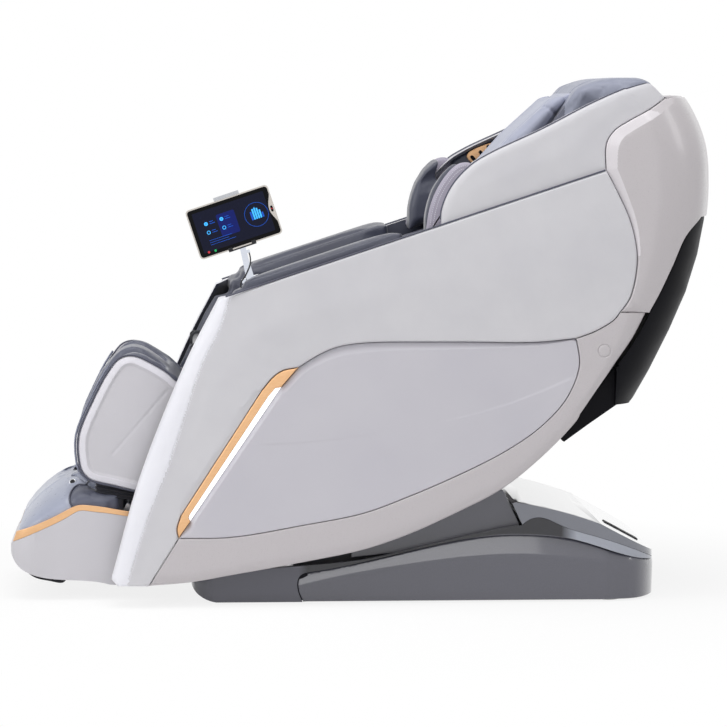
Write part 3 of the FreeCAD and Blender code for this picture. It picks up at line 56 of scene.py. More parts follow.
cameraView = {
    "place": (-0.4019, -8.4, 1.1258),
    "yaw": 2.819,  # degrees towards the head end
    "pitch": 4.16,  # degrees down
    "lens": 180.05,
    "sensor": 36.0,
    "farEnd": 60.0,
}


def addObject(name, data):
    made = bpy.data.objects.new(name, data)
    bpy.context.scene.collection.objects.link(made)
    return made


def addCamera():
    yaw = math.radians(cameraView["yaw"])
    pitch = math.radians(cameraView["pitch"])
    ahead = Vector((math.sin(yaw) * math.cos(pitch), math.cos(yaw) * math.cos(pitch), -math.sin(pitch)))
    camera = addObject("camera", bpy.data.cameras.new("camera"))
    camera.data.lens = cameraView["lens"]
    camera.data.sensor_width = cameraView["sensor"]
    camera.data.clip_end = cameraView["farEnd"]
    camera.location = cameraView["place"]
    camera.rotation_euler = ahead.to_track_quat("-Z", "Y").to_euler()
    bpy.context.scene.camera = camera


addCamera()
print("camera ready")


# The tablet's lead

# Where the tablet's stalk stands, in mm, and how steep the arm is there, in degrees
armTopFrame = {"origin": (-258, -322, 728), "slope": 18.4}
tabletLead = {
    "route": [(17.5, -2, 55), (17.5, -2, 44), (11.5, -13, 29), (2, -19.5, 18), (-9, -25, 7), (-24, -28, -2),
              (-24, -28, -14)],
    "length": 0.0888,
    "diameter": 0.003,
}


def inArm(x, y, z):  # a place measured from the stalk's foot: along the arm, across it, and out of it
    slope = math.radians(armTopFrame["slope"])
    ox, oy, oz = armTopFrame["origin"]
    return np.array([ox + x * math.cos(slope) - z * math.sin(slope), oy + y,
                     oz + x * math.sin(slope) + z * math.cos(slope)])


def plainMesh(piece):  # the piece's shape with its modifiers worked in
    return bpy.data.meshes.new_from_object(piece.evaluated_get(bpy.context.evaluated_depsgraph_get()))


def makeLead():  # a NURBS route through the points, then a tube along it
    data = bpy.data.curves.new("lead_route", "CURVE")
    data.dimensions = "3D"
    data.resolution_u = 16
    line = data.splines.new("NURBS")
    line.points.add(len(tabletLead["route"]) - 1)
    for point, spot in zip(line.points, tabletLead["route"]):
        point.co = (*(inArm(*spot) * mm), 1)
    line.order_u = 3
    line.use_endpoint_u = True
    route = addObject("lead_route", data)
    path = [tuple(v.co) for v in plainMesh(route).vertices]
    data.bevel_depth = tabletLead["diameter"] / 2
    data.bevel_resolution = 5
    data.use_fill_caps = True
    tube = plainMesh(route)
    bpy.data.objects.remove(route)
    tube.shade_smooth()
    lead = addObject("tablet_lead", tube)
    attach(lead, "capsule")
    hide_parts("tablet_cable")
    return lead


lead = makeLead()
print("lead ready")


# Materials

def colourOf(code):
    values = [int(code[i:i + 2], 16) / 255 for i in (0, 2, 4)]
    return [v / 12.92 if v <= 0.04045 else ((v + 0.055) / 1.055) ** 2.4 for v in values] + [1.0]


class Wiring:  # adds nodes to one tree and links them by socket name

    def __init__(self, tree):
        self.tree = tree

    def add(self, kind, inputs=None, **settings):
        node = self.tree.nodes.new(kind)
        for key, value in settings.items():
            setattr(node, key, value)
        for key, value in (inputs or {}).items():
            if isinstance(value, bpy.types.NodeSocket):
                self.tree.links.new(value, node.inputs[key])
            else:
                node.inputs[key].default_value = value
        return node


def newMaterial(name):
    material = bpy.data.materials.new(name)
    material.use_nodes = True
    material.node_tree.nodes.clear()
    wiring = Wiring(material.node_tree)
    place = wiring.add("ShaderNodeTexCoord").outputs["Object"]
    return material, wiring, place


def closeMaterial(wiring, shader):
    wiring.add("ShaderNodeOutputMaterial", {"Surface": shader})


def dressed(material, wiring, inputs):  # closes a material with the usual surface shader
    shader = wiring.add("ShaderNodeBsdfPrincipled", inputs)
    closeMaterial(wiring, shader.outputs[0])
    return material


def noiseAt(wiring, place, scale, detail=3.0):
    noise = wiring.add("ShaderNodeTexNoise", {"Vector": place, "Scale": scale, "Detail": detail})
    return noise.outputs["Fac"]


def blendColours(wiring, share, first, second):
    mix = wiring.add("ShaderNodeMix", {0: share, 6: first, 7: second}, data_type="RGBA")
    return mix.outputs[2]


def between(wiring, value, low=0.0, high=1.0, start=0.3, end=0.7):
    span = wiring.add("ShaderNodeMapRange", {"Value": value, "From Min": start, "From Max": end,
                                             "To Min": low, "To Max": high})
    return span.outputs["Result"]


def bumped(wiring, height, strength, distance, **under):
    inputs = {"Height": height, "Strength": strength, "Distance": distance, **under}
    return wiring.add("ShaderNodeBump", inputs).outputs["Normal"]


leatherLook = {  # scales of its noises, the depth of its grain and waves in m, and its lighter edges
    "patches": 9.0, "creases": 140.0, "grainDepth": 0.00025,
    "waves": 22.0, "waveStrength": 0.25, "waveDepth": 0.004,
    "edgeShare": 0.5, "edgeRun": (0.52, 0.62),
}


def leather(name, main, shade, pebble=1.6, depth=0.5, rough=(0.42, 0.56), sheen=0.15):
    material, wiring, place = newMaterial(name)
    patches = between(wiring, noiseAt(wiring, place, leatherLook["patches"], 4.0))
    colour = blendColours(wiring, patches, colourOf(main), colourOf(shade))
    point = wiring.add("ShaderNodeNewGeometry").outputs["Pointiness"]
    edge = between(wiring, point, 0.0, leatherLook["edgeShare"], *leatherLook["edgeRun"])
    cells = wiring.add("ShaderNodeTexVoronoi", {"Vector": place, "Scale": 1000 / pebble}, feature="SMOOTH_F1")
    creases = noiseAt(wiring, place, leatherLook["creases"], 5.0)
    grain = wiring.add("ShaderNodeMath", {0: cells.outputs["Distance"], 1: creases}, operation="ADD")
    fine = bumped(wiring, grain.outputs[0], depth, leatherLook["grainDepth"])
    waves = noiseAt(wiring, place, leatherLook["waves"], 2.0)
    return dressed(material, wiring, {
        "Base Color": blendColours(wiring, edge, colour, colourOf(main)),
        "Roughness": between(wiring, creases, *rough),
        "Normal": bumped(wiring, waves, leatherLook["waveStrength"], leatherLook["waveDepth"], Normal=fine),
        "Sheen Weight": sheen, "Sheen Roughness": 0.4, "Specular IOR Level": 0.45})


def moulded(name, main, shade, rough=(0.3, 0.4), coat=0.0, grain=0.1, grainSize=5.0, specular=0.5):
    material, wiring, place = newMaterial(name)
    patchScale, roughScale = (5.0, 14.0) if grain else (500.0, 500.0)  # a glossy face shows no broad patches
    patches = between(wiring, noiseAt(wiring, place, patchScale, 2.0))
    fine = noiseAt(wiring, place, 1000 / grainSize, 2.0)
    return dressed(material, wiring, {
        "Base Color": blendColours(wiring, patches, colourOf(main), colourOf(shade)),
        "Roughness": between(wiring, noiseAt(wiring, place, roughScale, 2.0), *rough),
        "Normal": bumped(wiring, fine, grain, 0.0001),
        "Coat Weight": coat, "Coat Roughness": 0.06, "Specular IOR Level": specular})


shroudShadeAndReflection = {  # from where to where along x, in m, each tone takes over: a dark painted shade under the capsule, then a light painted reflection at the tail
    "1F1F26": (-0.150, -0.130),
    "A3A7B2": (0.44, 0.475),
}


def shroudGloss(name):  # the base's upper shell: its sunk middle is darker with painted shade from the capsule above, its tail lighter with a painted reflection
    material, wiring, place = newMaterial(name)
    along = wiring.add("ShaderNodeSeparateXYZ", {"Vector": place}).outputs["X"]
    patches = between(wiring, noiseAt(wiring, place, 5.0, 0.0))
    colour = blendColours(wiring, patches, colourOf("575762"), colourOf("53535E"))
    for tone, run in shroudShadeAndReflection.items():
        colour = blendColours(wiring, between(wiring, along, 0.0, 1.0, *run), colour, colourOf(tone))
    return dressed(material, wiring, {
        "Base Color": colour,
        "Roughness": between(wiring, noiseAt(wiring, place, 14.0, 0.0), 0.16, 0.2),
        "Coat Weight": 0.5, "Coat Roughness": 0.06})


def brushed(name, main, shade, rough):
    material, wiring, place = newMaterial(name)
    drawn = wiring.add("ShaderNodeMapping", {"Vector": place, "Scale": (1, 1, 30)}).outputs["Vector"]
    lines = noiseAt(wiring, drawn, 60.0, 5.0)
    return dressed(material, wiring, {
        "Base Color": blendColours(wiring, between(wiring, lines), colourOf(main), colourOf(shade)),
        "Roughness": between(wiring, lines, *rough),
        "Normal": bumped(wiring, lines, 0.08, 0.0002), "Metallic": 1.0})


def glowing(name, main, body, strength):
    material, wiring, place = newMaterial(name)
    faint = between(wiring, noiseAt(wiring, place, 30.0, 2.0), 0.96, 1.0)
    tint = blendColours(wiring, faint, colourOf(body), colourOf(main))
    return dressed(material, wiring, {
        "Base Color": tint, "Roughness": 0.35, "Emission Color": tint, "Emission Strength": strength,
        "Specular IOR Level": 0.15})


darkHide = dict(pebble=1.7, depth=0.5, rough=(0.3, 0.44), sheen=0.25)
recipes = {  # two tones for each finish, and what differs from the usual look of its kind
    leather: {
        "shellLeather": ("CFCED2", "C9C8CD", dict(pebble=1.4, depth=0.35)),
        # a lighter copy of shellLeather for the arm's front band: a painted highlight where it curves towards
        # the light
        "frontLeather": ("E9E9EF", "E4E4EB", dict(pebble=1.4, depth=0.3)),
        "seatLeather": ("5B5E6E", "525565", darkHide),
        "darkLeather": ("474A59", "3F414F", darkHide),
        "footLeather": ("A7ACBD", "999EB0", dict(depth=0.35, rough=(0.26, 0.36), sheen=0.2)),
        "flapLeather": ("8E92A3", "838798", dict(depth=0.45, rough=(0.36, 0.5))),
        "lilacLeather": ("A9A4B2", "9D98A8", dict(pebble=1.5, depth=0.4)),
        "pillowLeather": ("A9ADBF", "9DA1B4", dict(depth=0.45, rough=(0.36, 0.5))),
        "piping": ("4A4C5C", "424454", dict(pebble=1.0, depth=0.3, rough=(0.35, 0.45))),
        "gaiter": ("26262E", "1E1E26", dict(pebble=1.2, depth=0.4, rough=(0.5, 0.65), sheen=0.2)),
    },
    moulded: {
        # a lighter copy of footSatin for the calf side's rim band: a painted highlight
        "calfRim": ("DEDCE3", "DAD8DF", dict(rough=(0.36, 0.4))),
        # a lighter copy of pearlShell for the rear shell's chamfer band: a painted highlight
        "pearlRim": ("D9D5D9", "D5D0D4", dict(rough=(0.25, 0.27), coat=0.3, grain=0.0)),
        "insertSatin": ("C5C3CA", "C1BFC7", dict(rough=(0.42, 0.46))),
        "pearlShell": ("C1BCBF", "BFBABD", dict(rough=(0.27, 0.29), coat=0.25, grain=0.0)),
        "footSatin": ("CBC9CE", "C6C4C9", dict(rough=(0.4, 0.44))),
        "baseGloss": ("575762", "53535E", dict(rough=(0.2, 0.22), coat=1.0, grain=0.0)),
        "deckGloss": ("6A6D78", "676A75", dict(rough=(0.1, 0.11), coat=1.0, grain=0.0, specular=0.9)),
        "blackCover": ("0C0C12", "08080D", dict(rough=(0.36, 0.48), grain=0.2, grainSize=2.5, specular=0.1)),
        "blackPlastic": ("18181C", "121216", dict(rough=(0.4, 0.5), grain=0.2, grainSize=2.0, specular=0.35)),
        "rubber": ("1E1E22", "17171B", dict(rough=(0.7, 0.85), grain=0.5, grainSize=2.0, specular=0.3)),
        "paintedSteel": ("35363B", "2C2D31", dict(rough=(0.4, 0.52), coat=0.2, grain=0.25)),
        "thread": ("E8E8EE", "D8D8E0", dict(rough=(0.6, 0.7), grain=0.4, grainSize=0.3)),
        "darkThread": ("8E92A4", "82869A", dict(rough=(0.6, 0.7), grain=0.4, grainSize=0.3)),
        "seamShade": ("1C1C21", "17171C", dict(rough=(0.6, 0.7), grain=0.0, specular=0.1)),
        "screenGlass": ("050507", "040406", dict(rough=(0.1, 0.12), grain=0.0, specular=0.12)),
    },
    brushed: {
        "champagne": ("EDC296", "E0AF80", dict(rough=(0.3, 0.42))),
        "zinc": ("C2C4C8", "A9ABB0", dict(rough=(0.22, 0.36))),
        "silver": ("C9C4BE", "C0BAB4", dict(rough=(0.24, 0.3))),
        "chrome": ("DDE1EA", "D2D7E2", dict(rough=(0.08, 0.14))),
    },
    glowing: {
        "lightStrip": ("FFFFFF", "F2F2F4", dict(strength=0.75)),
        "screenNight": ("080C22", "05081A", dict(strength=0.2)),
        "screenPatch": ("0C185C", "08114A", dict(strength=0.3)),
        "screenBlue": ("1B55C0", "1243A0", dict(strength=0.3)),
        "screenCyan": ("3FA9F0", "3093D6", dict(strength=0.6)),
        "signRed": ("B0303A", "98222B", dict(strength=0.5)),
        "signGreen": ("249A5A", "1D844B", dict(strength=0.5)),
    },
}
finishes = {"shroudGloss": shroudGloss("shroudGloss")}
for makeFinish, looks in recipes.items():
    for look, (main, shade, settings) in looks.items():
        finishes[look] = makeFinish(look, main, shade, **settings)
print("materials ready")


# Small helpers

def newPiece(name, points, faces, finish, sharpAngle=40):
    mesh = bpy.data.meshes.new(name)
    mesh.from_pydata([tuple(p) for p in points], [], [tuple(f) for f in faces])
    mesh.update()
    mesh.shade_smooth()
    mesh.set_sharp_from_angle(angle=math.radians(sharpAngle))
    mesh.materials.append(finishes[finish])
    return addObject(name, mesh)


def coordinates(mesh):
    flat = np.empty(len(mesh.vertices) * 3, np.float32)
    mesh.vertices.foreach_get("co", flat)
    return flat.reshape(-1, 3).astype(float)


def setCoordinates(mesh, points):
    mesh.vertices.foreach_set("co", points.astype(np.float32).ravel())
    mesh.update()


def normals(mesh):
    flat = np.empty(len(mesh.vertices) * 3, np.float32)
    mesh.vertex_normals.foreach_get("vector", flat)
    return flat.reshape(-1, 3).astype(float)


def bake(piece):  # the piece with its modifiers worked in
    mesh = plainMesh(piece)
    piece.modifiers.clear()
    piece.data = mesh


def surfaceOf(mesh):
    return BVHTree.FromPolygons([v.co for v in mesh.vertices], [p.vertices for p in mesh.polygons])


def turnOutwards(mesh, largest=None):  # faces with more corners than largest are cut up as well
    loose = bmesh.new()
    loose.from_mesh(mesh)
    if largest:
        bmesh.ops.triangulate(loose, faces=[f for f in loose.faces if len(f.verts) > largest])
    bmesh.ops.recalc_face_normals(loose, faces=loose.faces)
    loose.to_mesh(mesh)
    loose.free()


def recolour(piece, finish, chosen):  # faces whose middles, in mm, are chosen get another finish
    piece.data.materials.append(finishes[finish])
    last = len(piece.data.materials) - 1
    centres = np.array([tuple(face.center) for face in piece.data.polygons]) / mm
    for face, taken in zip(piece.data.polygons, chosen(centres)):
        if taken:
            face.material_index = last


def lineInside(piece, finish, beyond):  # faces that look inwards, past the edge, get the lining's finish
    inward = np.array([face.normal[1] for face in piece.data.polygons]) > 0.3
    recolour(piece, finish, lambda c: (c[:, 1] > beyond) & inward)


def place(piece, body, slot, *nodes):
    if "panel" in piece:  # large faces lead the shading, so that slivers between two grids leave no specks
        even = piece.modifiers.new("even shading", "WEIGHTED_NORMAL")
        even.keep_sharp = True
    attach(piece, body)
    if nodes:
        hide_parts(*nodes)


def mirrorOf(piece, name):
    mesh = piece.data.copy()
    setCoordinates(mesh, coordinates(mesh) * (1, -1, 1))
    mesh.flip_normals()
    mesh.update()
    twin = addObject(name, mesh)
    if "panel" in piece:
        twin["panel"] = 1
    return twin


def onBothSides(piece, label, body, slot, *nodes):
    twin = mirrorOf(piece, label + "_right")
    piece.name = label + "_left"
    place(piece, body, slot, *[node + "_left" for node in nodes])
    place(twin, body, slot, *[node + "_right" for node in nodes])
    return piece, twin


def joinPieces(pieces, name):  # each face keeps its finish
    mesh = pieces[0].data
    looks = list(mesh.materials)
    joint = bmesh.new()
    joint.from_mesh(mesh)
    for piece in pieces[1:]:
        own = list(piece.data.materials)
        looks += [look for look in own if look not in looks]
        for face in piece.data.polygons:
            face.material_index = looks.index(own[face.material_index])
        joint.from_mesh(piece.data)
    for look in looks[len(mesh.materials):]:
        mesh.materials.append(look)
    joint.to_mesh(mesh)
    joint.free()
    for piece in pieces[1:]:
        bpy.data.objects.remove(piece)
    pieces[0].name = name
    return pieces[0]


def bothAsOne(left, name):
    return joinPieces([left, mirrorOf(left, name + "_right")], name)


def smoothLine(points, step, closed=False):  # a smooth line through the points, cut into short runs
    p = [np.array(q, float) for q in points]
    if len(p) < 3 and not closed:
        count = max(1, round(float(np.linalg.norm(p[1] - p[0])) / step))
        return [p[0] + (p[1] - p[0]) * i / count for i in range(count + 1)]
    if closed:
        ends = [p[-1]] + p + [p[0], p[1]]
    else:
        ends = [2 * p[0] - p[1]] + p + [2 * p[-1] - p[-2]]
    line = []
    for a, b, c, d in zip(ends, ends[1:], ends[2:], ends[3:]):
        ta, tb, tc = [max(1e-6, np.linalg.norm(v - u)) ** 0.5 for u, v in ((a, b), (b, c), (c, d))]
        count = max(1, round(float(np.linalg.norm(c - b)) / step))
        slopeB = (b - a) / ta - (c - a) / (ta + tb) + (c - b) / tb
        slopeC = (c - b) / tb - (d - b) / (tb + tc) + (d - c) / tc
        for i in range(count):
            t = i / count
            line.append((2 * t ** 3 - 3 * t ** 2 + 1) * b + (t ** 3 - 2 * t ** 2 + t) * slopeB * tb
                        + (3 * t ** 2 - 2 * t ** 3) * c + (t ** 3 - t ** 2) * slopeC * tb)
    if not closed:
        line.append(p[-1])
    return line


def joined(curves, step):  # a closed outline from curves that meet end to end
    line = []
    for curve in curves:
        for q in smoothLine(curve, step):
            if not line or np.linalg.norm(q - line[-1]) > 0.4:
                line.append(q)
    while np.linalg.norm(line[0] - line[-1]) < 0.4:
        line.pop()
    return np.array(line)


def distanceTo(points, line, closed=False):
    line = np.array(line, float)
    starts = line if closed else line[:-1]
    ends = np.roll(line, -1, axis=0) if closed else line[1:]
    best = np.full(len(points), 1e9)
    for a, b in zip(starts, ends):
        d = b - a
        t = np.clip(((points - a) @ d) / max(1e-9, d @ d), 0, 1)
        best = np.minimum(best, np.linalg.norm(points - a - t[:, None] * d, axis=1))
    return best


def ease(value):  # 0 to 1 with soft ends
    value = np.clip(value, 0, 1)
    return value * value * (3 - 2 * value)


def rolled(distance, width, depth):  # how far an edge that rolls over lies back
    share = np.clip(1 - distance / width, 0, 1)
    return -depth * (1 - np.sqrt(np.clip(1 - share * share, 0, 1)))


# The outer body: a flat side that turns round a corner to the back

shell = {
    "corner": 150.0,
    "rear": [(600, 0), (600, 300), (632, 450), (671, 518), (716, 608), (753, 693), (779, 778), (794, 857),
             (799, 930), (794, 1012), (778, 1066), (751, 1119), (700, 1190)],
    "bend": [(-150, -400), (-58.5, -352), (-22.5, -250), (-5.25, -128), (0, 0)],
}
rearLine = np.array(smoothLine(shell["rear"], 4))
bendHalf = np.array(smoothLine([(-250, -400)] + shell["bend"] + [(-5.25, 128)], 3))
bendHalf = bendHalf[(bendHalf[:, 0] > -150) & (bendHalf[:, 1] < -1e-6)]
bendLine = np.vstack([[(-150.0, -400.0)], bendHalf, [(0.0, 0.0)], (bendHalf * (1, -1))[::-1],
                      [(-150.0, 400.0)]])
bendRun = np.concatenate([[0], np.cumsum(np.linalg.norm(np.diff(bendLine, axis=0), axis=1))])
bendMiddle = bendRun[len(bendHalf) + 1]


def rearAt(z):
    return np.interp(z, rearLine[:, 1], rearLine[:, 0])


def onShell(s, z):  # s runs along the side and round the back, level by level
    rear = rearAt(z)
    t = s - (rear - shell["corner"])
    x = np.where(t < 0, s, rear + np.interp(t, bendRun, bendLine[:, 0]))
    x = np.where(t > bendRun[-1], rear - shell["corner"] - (t - bendRun[-1]), x)
    return np.stack([x, np.interp(t, bendRun, bendLine[:, 1]), z], axis=1)


def shellNormal(s, z):
    along = onShell(s + 1, z) - onShell(s - 1, z)
    up = onShell(s, z + 1) - onShell(s, z - 1)
    normal = np.cross(along, up)
    return normal / np.linalg.norm(normal, axis=1)[:, None]


def unrolled(point):  # the s of a side-view point
    x, z = point
    start = float(rearAt(z)) - shell["corner"]
    if x <= start:
        return (x, z)
    first = bendLine[:len(bendHalf) + 2]
    return (start + float(np.interp(x - float(rearAt(z)), first[:, 0], bendRun[:len(first)])), z)


def middleAt(z):  # the s of the middle of the back
    return float(rearAt(z)) - shell["corner"] + bendMiddle


def roundTheBack(line):  # the same line on the other side of the back
    return [(2 * middleAt(z) - s, z) for s, z in line][::-1]


def enclosed(outline):  # the area, below zero where the outline runs clockwise
    x, z = outline[:, 0], outline[:, 1]
    return 0.5 * np.sum(x * np.roll(z, -1) - np.roll(x, -1) * z)


def inwardOf(outline):  # at each point, the way into the outline
    wide = np.roll(outline, -1, axis=0) - np.roll(outline, 1, axis=0)
    inward = np.stack([-wide[:, 1], wide[:, 0]], axis=1) / np.linalg.norm(wide, axis=1)[:, None]
    return inward if enclosed(outline) > 0 else -inward


def drawnBack(outline, amount):  # the outline moved in a little all round
    return outline + inwardOf(outline) * amount


def spread(points, least):  # drops each point that lies closer than least to one before it
    kept = []
    cells = {}
    for q in points:
        column = int(q[0] // least)
        row = int(q[1] // least)
        around = [p for i in (-1, 0, 1) for j in (-1, 0, 1) for p in cells.get((column + i, row + j), ())]
        if all(math.hypot(q[0] - p[0], q[1] - p[1]) > least for p in around):
            cells.setdefault((column, row), []).append(q)
            kept.append(q)
    return kept


gridRule = {
    "rowShare": 0.866,  # rows of a triangle grid lie closer than its columns
    "least": 0.55,  # closer points are dropped, in mm
    "ringKept": 0.93,  # a ring's point is dropped where another part of the edge is nearer than this share
    "edgeClear": 0.55,  # shares of the spacing that stay free beside the rings and beside extra points
    "extraClear": 0.6,
    "extraInside": 1.5,  # extra points keep this far from the edge, in mm
}


def skinGrid(outline, spacing, edgeSteps, extra=()):  # triangles inside an outline, finer along its edge
    inward = inwardOf(outline)
    rings = []
    for step in edgeSteps:
        ring = outline + inward * step
        kept = distanceTo(ring, outline, True) > gridRule["ringKept"] * step
        rings += [tuple(q) for q in ring[kept]]
    low = outline.min(axis=0)
    high = outline.max(axis=0)
    rowStep = spacing * gridRule["rowShare"]
    grid = []
    for row in range(int((high[1] - low[1]) / rowStep) + 1):
        for column in range(int((high[0] - low[0]) / spacing) + 2):
            grid.append((low[0] + (column - 0.5 * (row % 2)) * spacing, low[1] + (row + 0.5) * rowStep))
    grid = np.array(grid)
    free = distanceTo(grid, outline, True) > max(edgeSteps) + gridRule["edgeClear"] * spacing
    extra = [tuple(q) for q in extra]
    if extra:
        added = np.array(extra)
        inside = distanceTo(added, outline, True) > gridRule["extraInside"]
        extra = [q for q, fits in zip(extra, inside) if fits]
        for i in range(0, len(added), 3):
            free &= np.linalg.norm(grid - added[i], axis=1) > gridRule["extraClear"] * spacing
    edge = [tuple(q) for q in outline]
    corners = list(range(len(spread(edge, gridRule["least"]))))
    everything = spread(edge + rings + extra, gridRule["least"]) + [tuple(q) for q in grid[free]]
    loop = corners if enclosed(outline) > 0 else corners[::-1]
    made = geometry.delaunay_2d_cdt([Vector(q) for q in everything], [], [loop], 1, 1e-5)
    flat = np.array([tuple(v) for v in made[0]])
    faces = [tuple(f) for f, source in zip(made[2], made[5]) if source]
    used = sorted({i for f in faces for i in f})
    index = {old: new for new, old in enumerate(used)}
    return flat[used], [tuple(index[i] for i in f) for f in faces]


def skinPiece(name, outline, finish, lift, wall, spacing=8.0, edgeSteps=(0.4, 1.2, 2.6, 4.5), extra=(),
              surface=onShell, normalOf=shellNormal):
    flat, faces = skinGrid(outline, spacing, edgeSteps, extra)
    base = surface(flat[:, 0], flat[:, 1])
    normal = normalOf(flat[:, 0], flat[:, 1])
    distance = distanceTo(flat, outline, True)
    front = base + normal * lift(flat, distance)[:, None]
    back = base - normal * wall(flat, distance)[:, None]
    count = len(flat)
    edges = {(a, b) for face in faces for a, b in zip(face, face[1:] + face[:1])}
    rim = [(a, b) for face in faces for a, b in zip(face, face[1:] + face[:1]) if (b, a) not in edges]
    a, b, c = faces[0]
    outward = np.dot(np.cross(front[b] - front[a], front[c] - front[a]), normal[a]) > 0
    allFaces = list(faces) + [tuple(i + count for i in f[::-1]) for f in faces]
    allFaces += [(b, a, a + count, b + count) for a, b in rim]
    if not outward:
        allFaces = [f[::-1] for f in allFaces]
    piece = newPiece(name, np.vstack([front, back]) * mm, allFaces, finish)
    piece["panel"] = 1
    return piece


def even(amount):  # the same depth everywhere
    def depth(flat, d):
        return np.full(len(flat), float(amount))
    return depth


def groove(distance, width):  # 1 in the middle of a line, falling off to both sides
    return np.exp(-(distance / width) ** 2)


def flatFace(axis, level, way):  # a flat surface across one axis, facing the way
    def surface(u, v):
        return np.insert(np.stack([u, v], axis=1), axis, float(level), axis=1)

    def normal(u, v):
        return np.tile(np.array(way, float), (len(u), 1))
    return surface, normal


# Lines of the side view that neighbouring pieces share

armFront = [(-327, 685), (-400, 543), (-504, 284), (-567, 62)]
armTop = [(530, 968), (-327, 685)]
armLower = [(-151, 535), (-109, 561), (-67, 579), (-9, 588), (196, 590), (377, 589), (464, 597)]
armHeel = [(464, 597), (505, 612), (547, 637), (562, 655)]
armRear = [(562, 655), (582, 683), (593, 719), (599, 771), (595, 812), (581, 863), (555, 920), (530, 968)]
frontSeam = [(-484, 49), (-417, 156)]
trimFoot = [(-417, 156), (-421, 176), (-412, 207)]
trimHead = [(-232, 485), (-206, 515), (-186, 528), (-151, 535)]
insertRear = [(464, 597), (472, 543), (462, 501), (434, 450), (377, 393), (300, 342), (197, 291), (94, 247),
              (-7, 210), (-145, 183), (-299, 158), (-417, 156)]
stripEdge = [(-391, 194), (-189, 491)]
stripInner = [(-219, 470), (-392, 210)]
shellBottom = [(-484, 49), (-387, 57), (-299, 72), (-145, 99), (-7, 127), (94, 161), (197, 207), (301, 261),
               (383, 326), (455, 398), (507, 465), (561, 542)]
shellTail = [(561, 542), (599, 595), (629, 652)]
rearFront = [(530, 968), (529, 1017), (534, 1037), (550, 1058), (581, 1078), (632, 1106), (670, 1132)]
coverEdge = [(752, 862), (713, 821), (682, 755), (652, 693), (629, 652)]
wingRim = [(164, 860), (167, 885), (189, 934), (231, 980), (273, 1006), (385, 1058), (504, 1119), (581, 1152),
           (635, 1170)]
stitchLine = [(-303, 690), (-326, 618), (-364, 543), (-442, 311), (-483, 208), (-528, 68)]
gap = 1.3  # the open seam that each piece leaves along its edge, in mm


def armRim(x, above):
    return (x, 685 + (x + 327) * 283 / 857 + above)


def panelOutline(curves, step=7, back=gap / 2):
    return drawnBack(joined(curves, step), back)


def joinedBand(line, steps):  # points beside a line, at each of the steps
    line = np.array(line)
    wide = np.gradient(line, axis=0)
    side = np.stack([-wide[:, 1], wide[:, 0]], axis=1) / np.linalg.norm(wide, axis=1)[:, None]
    if side[:, 0].mean() < 0:
        side = -side
    return [q for step in steps for q in line + side * step]


def rimPoints(line, widthAt, shares):  # points beside a line, at shares of the rim's width
    found = []
    for share in shares:
        for q, way in zip(line, np.gradient(line, axis=0)):
            found.append(q + np.array([way[1], -way[0]]) / np.linalg.norm(way) * widthAt(q) * share)
    return found


armPanel = {
    "inset": 0.8, "crown": 3.0, "frontDepth": 24, "frontTurn": 9, "seamDepth": 1.6,
    "wall": 24, "frontWall": 91,
    "frontWidth": ([60, 210, 311, 543, 690], [34, 42, 48, 35, 24]),  # how far its front rolls over, by height
    "lining": -383,
}


def makeArmPanels():
    outline = panelOutline([armFront, [(-553, 49), (-484, 49)], frontSeam, trimFoot, trimHead, armLower,
                            armHeel, armRear, armTop])
    front = smoothLine(armFront, 8)
    seam = np.array(smoothLine(stitchLine, 6))

    def lift(flat, d):
        fromFront = distanceTo(flat, front)
        fromSeam = distanceTo(flat, seam)
        width = np.interp(flat[:, 1], *armPanel["frontWidth"])
        height = -armPanel["inset"] + rolled(d, 5, 4) + armPanel["crown"] * ease((d - 3) / 140)
        height += rolled(fromFront, width, armPanel["frontDepth"])
        height -= armPanel["frontTurn"] * np.clip(1 - fromFront / 190, 0, 1) ** 2
        height -= armPanel["seamDepth"] * groove(fromSeam, 1.8)
        return height - 0.35 * groove(fromSeam - 3.4, 1.0)

    def wall(flat, d):
        return armPanel["wall"] + armPanel["frontWall"] * groove(distanceTo(flat, front), 26)

    extra = [q + np.array([dx, 0]) for q in seam for dx in (-4, -1.6, 0, 1.6, 4)]
    extra += joinedBand(front, (4, 8, 13, 19, 26))
    piece = skinPiece("arm_panel_left", outline, "shellLeather", lift, wall, 9.0, extra=extra)
    # the front band, ahead of the stitch line, gets the lighter leather: a painted highlight
    recolour(piece, "frontLeather", lambda c: c[:, 0] < np.interp(c[:, 2], seam[::-1, 1], seam[::-1, 0]))
    lineInside(piece, "darkLeather", armPanel["lining"])
    onBothSides(piece, "arm_panel", "capsule", "shell_leather", "arm_panel")


insertPanel = {
    "inset": 6.0, "rim": 8.0, "wall": 16, "sideWidth": 9, "sideWay": (0.827, -0.562),
    "topWidth": ([-190, -60, 200, 464], [15, 22, 16, 3]),  # the width of its sloping rim, along x
    "turn": ([-262, -220, 60, 452], [0.0, 0.8, 0.2, -1.6]),  # how sharply the face turns at the crease
    "crease": [(-262, 363), (-145, 368), (-7, 383), (94, 402), (197, 420), (300, 448), (377, 476),
               (452, 508)],
}


